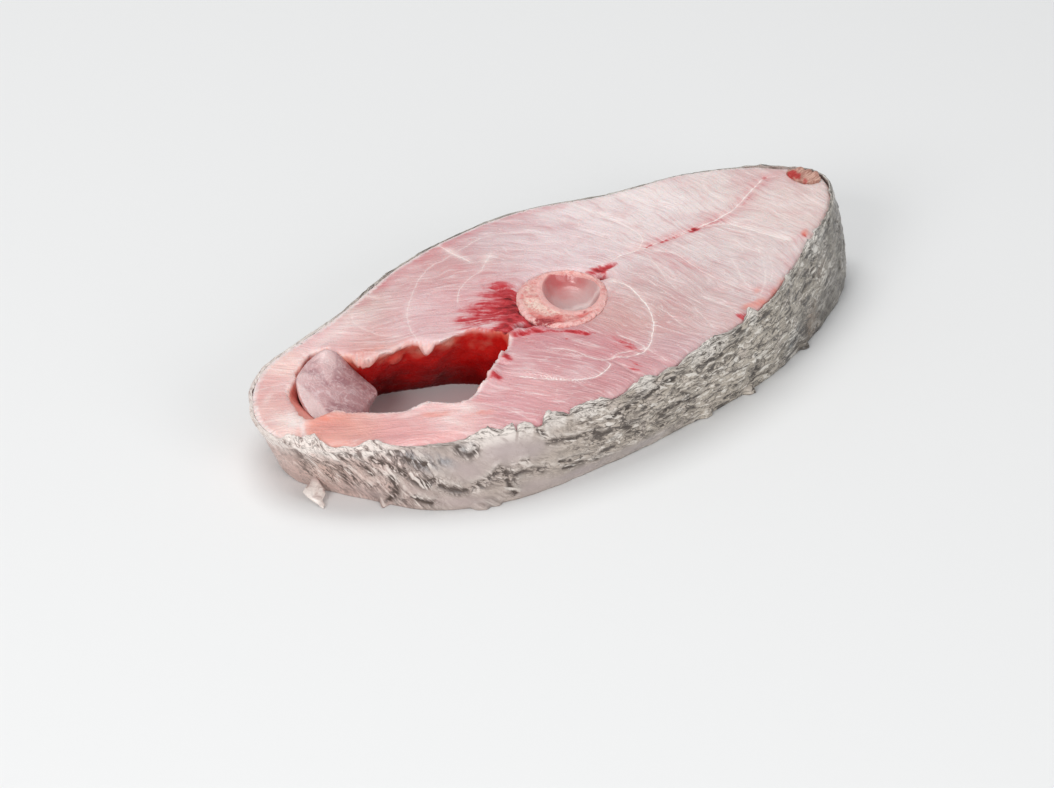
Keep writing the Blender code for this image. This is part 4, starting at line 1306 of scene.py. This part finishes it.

# Painted shade: the skin is darkened just under the lower edge of each fold and along the deep folds.
fold_shade = np.clip(0.6 * ease(big_fold, 0.78, 0.98) * big_share * busy + deep, 0, 1)
fold_shade = np.maximum(fold_shade, 0.8 * ease(small_fold, 0.66, 0.95) * small_share)
# Painted highlight on the crest of each fold, just above its lower edge, and on the brows beside the deep
# folds.
crest_highlight = np.clip(
    ease(big_fold, 0.35, 0.03) * big_share + ease(small_fold, 0.4, 0.05) * small_share + brow, 0, 1
)
flap = ease(reach, 1.2, 2.6)
far_belly = on_far * ease(skin_x, -40, -60) + on_near * ease(skin_x, -101, -104)
at_top = ease(row_share, 0.62, 0.9)
white = np.clip(ease(row_share, 0.84, 0.98) * flap * 0.7 + 0.45 * collar + at_top * far_belly, 0, 1)
busy = busy * (1 - at_top * far_belly)
lip_white = 0.25 + 0.45 * flap + 0.2 * lip_share[:, None] + 0.1 * collar[-1] + 0.6 * far_belly
warm = np.interp(skin_x, [-107, -92, -70, -45, -10, 30, 107], [1, 0.95, 0.8, 0.6, 0.35, 0.2, 0.1])
# Towards the back the skin is darker, partly its own colour and partly painted shade where the flank turns
# from the light. Low on the near side it is painted darker still, as shade.
dark = np.interp(skin_x, [-107, -60, 10, 40, 70, 90, 107], [0, 0, 0.05, 0.18, 0.42, 0.85, 1])
dark = dark * (1 - 0.3 * on_far)
shaded = dark + 0.8 * ease(outer_rows[..., 0], 40, 75) * ease(row_share, 0.65, 0.15) * on_near
lip_busy = (0.45 + 0.35 * ease(skin_x, -80, -30)) * (1 - far_belly)


def paint_skin(name, *channels):
    """Keeps three numbers all over the skin, each given on its outer rows, on its lip and on its inside."""
    parts = ((SKIN_ROWS, 0), (LIP_ROWS, 1), (len(inner_rows), 2))
    rows = [np.concatenate([np.broadcast_to(c[k], (n, SKIN_STATIONS)) for n, k in parts]) for c in channels]
    paint(skin.data, name, *(row.ravel() for row in rows))


paint_skin("skin_at", *zip(np.moveaxis(spots, -1, 0), np.moveaxis(lip_spots, -1, 0), edge_spots.T))
paint_skin("skin_form", (fold_shade, 0, 0), (crest_highlight, 0.1, 0), (clear, 0, 0))
paint_skin("skin_zone", (warm, warm, 1), (np.clip(shaded, 0, 1), 0.5 * dark, 0), (white, lip_white, 0.95))
paint_skin(
    "skin_stain", (near_patches(BLUE_SKIN), 0, 0), (near_patches(BROWN_SKIN), 0, 0), (busy, lip_busy, 0)
)

with bpy.context.temp_override(active_object=skin, object=skin, selected_editable_objects=[skin, rag]):
    bpy.ops.object.join()

material = new_material("descaled skin")
place = put("TexCoord", result="Object")
form_fold_shade, form_crest_highlight, form_clear = kept("skin_form").parts()
zone_warm, zone_dark_and_shade, zone_white = kept("skin_zone").parts()
stain_blue, stain_brown, skin_busy = kept("skin_stain").parts()
skin_at = kept("skin_at")
creases = skin_at.stretched(0.13, 0.13, 0.46).cloud(1, 2, 0.55, 0.7)
hairs = skin_at.stretched(0.25, 0.25, 0.9).cloud(1, 3, 0.6, 0.9)
gather = skin_at.stretched(0.09, 0.09, 0.24).cloud(1, 2)
blotch = place.cloud(150, 3, 0.6)
weave = creases * 0.42 + hairs * 0.58 + gather.fade(0.35, 0.65, -0.022, 0.022)
lined = 1 - form_clear
hair_line = abs(hairs - 0.49).fade(0.03, 0.008)
crease_line = abs(creases - 0.46).fade(0.03, 0.01)
patchy = creases.fade(0.62, 0.38, 0.25, 0.9)
# Painted glints: small pale highlights on the busy skin, fewer where it is painted darker.
painted_glints = weave.fade(0.545, 0.6) * skin_busy.fade(0, 0.8, 0.1, 0.85) * zone_dark_and_shade.fade(0.4, 1, 1, 0.3)
dark_line = weave.fade(0.455, 0.4).most((hair_line * 0.6).most(crease_line * 0.85))
dark_line = dark_line * skin_busy.fade(0, 0.7, 0.26, 0.95) * lined
lines = (form_fold_shade * hairs.fade(0.58, 0.47, 0.1, 1.3)).clipped().most(dark_line)
hide = laid(
    (0.6, 0.535, 0.44),
    ((0.36, 0.28, 0.255), zone_warm),
    ((0.64, 0.455, 0.405), zone_warm.fade(0.84, 0.97)),
    ((0.62, 0.53, 0.48), blotch.fade(0.5, 0.3, 0, 0.45)),
    ((0.22, 0.185, 0.165), blotch.fade(0.5, 0.7, 0, 0.5)),
    (laid((0.38, 0.36, 0.35), ((0.42, 0.32, 0.305), zone_warm)), form_clear),
    # Darker skin towards the back: its own colour and painted shade.
    ((0.125, 0.112, 0.095), zone_dark_and_shade * 0.82),
    ((0.19, 0.215, 0.245), stain_blue * patchy),
    ((0.26, 0.15, 0.08), stain_brown * patchy),
    (laid((0.76, 0.73, 0.68), ((0.82, 0.73, 0.68), zone_warm)), zone_white * weave.fade(0.38, 0.5, 0.25, 1)),
    (laid((0.78, 0.75, 0.69), ((0.8, 0.72, 0.67), zone_warm)), painted_glints * lined * 0.9),
    # Painted highlight on the fold crests.
    ((0.72, 0.67, 0.62), form_crest_highlight * 0.28),
    # Near-black lines: painted shade in the folds and creases, together with the skin's own dark hairlines.
    (laid((0.05, 0.042, 0.034), ((0.08, 0.052, 0.042), zone_warm)), lines),
)
shading = {
    "Base Color": hide,
    "Normal": ((weave - lines * 0.12) * form_clear.fade(0, 1, 1, 0.3)).bump(0.6, 0.0009),
    "Roughness": blotch.fade(0.3, 0.7, 0.22, 0.4),
    "Specular IOR Level": 0.6,
}
finish_piece(skin, "skin", shading)
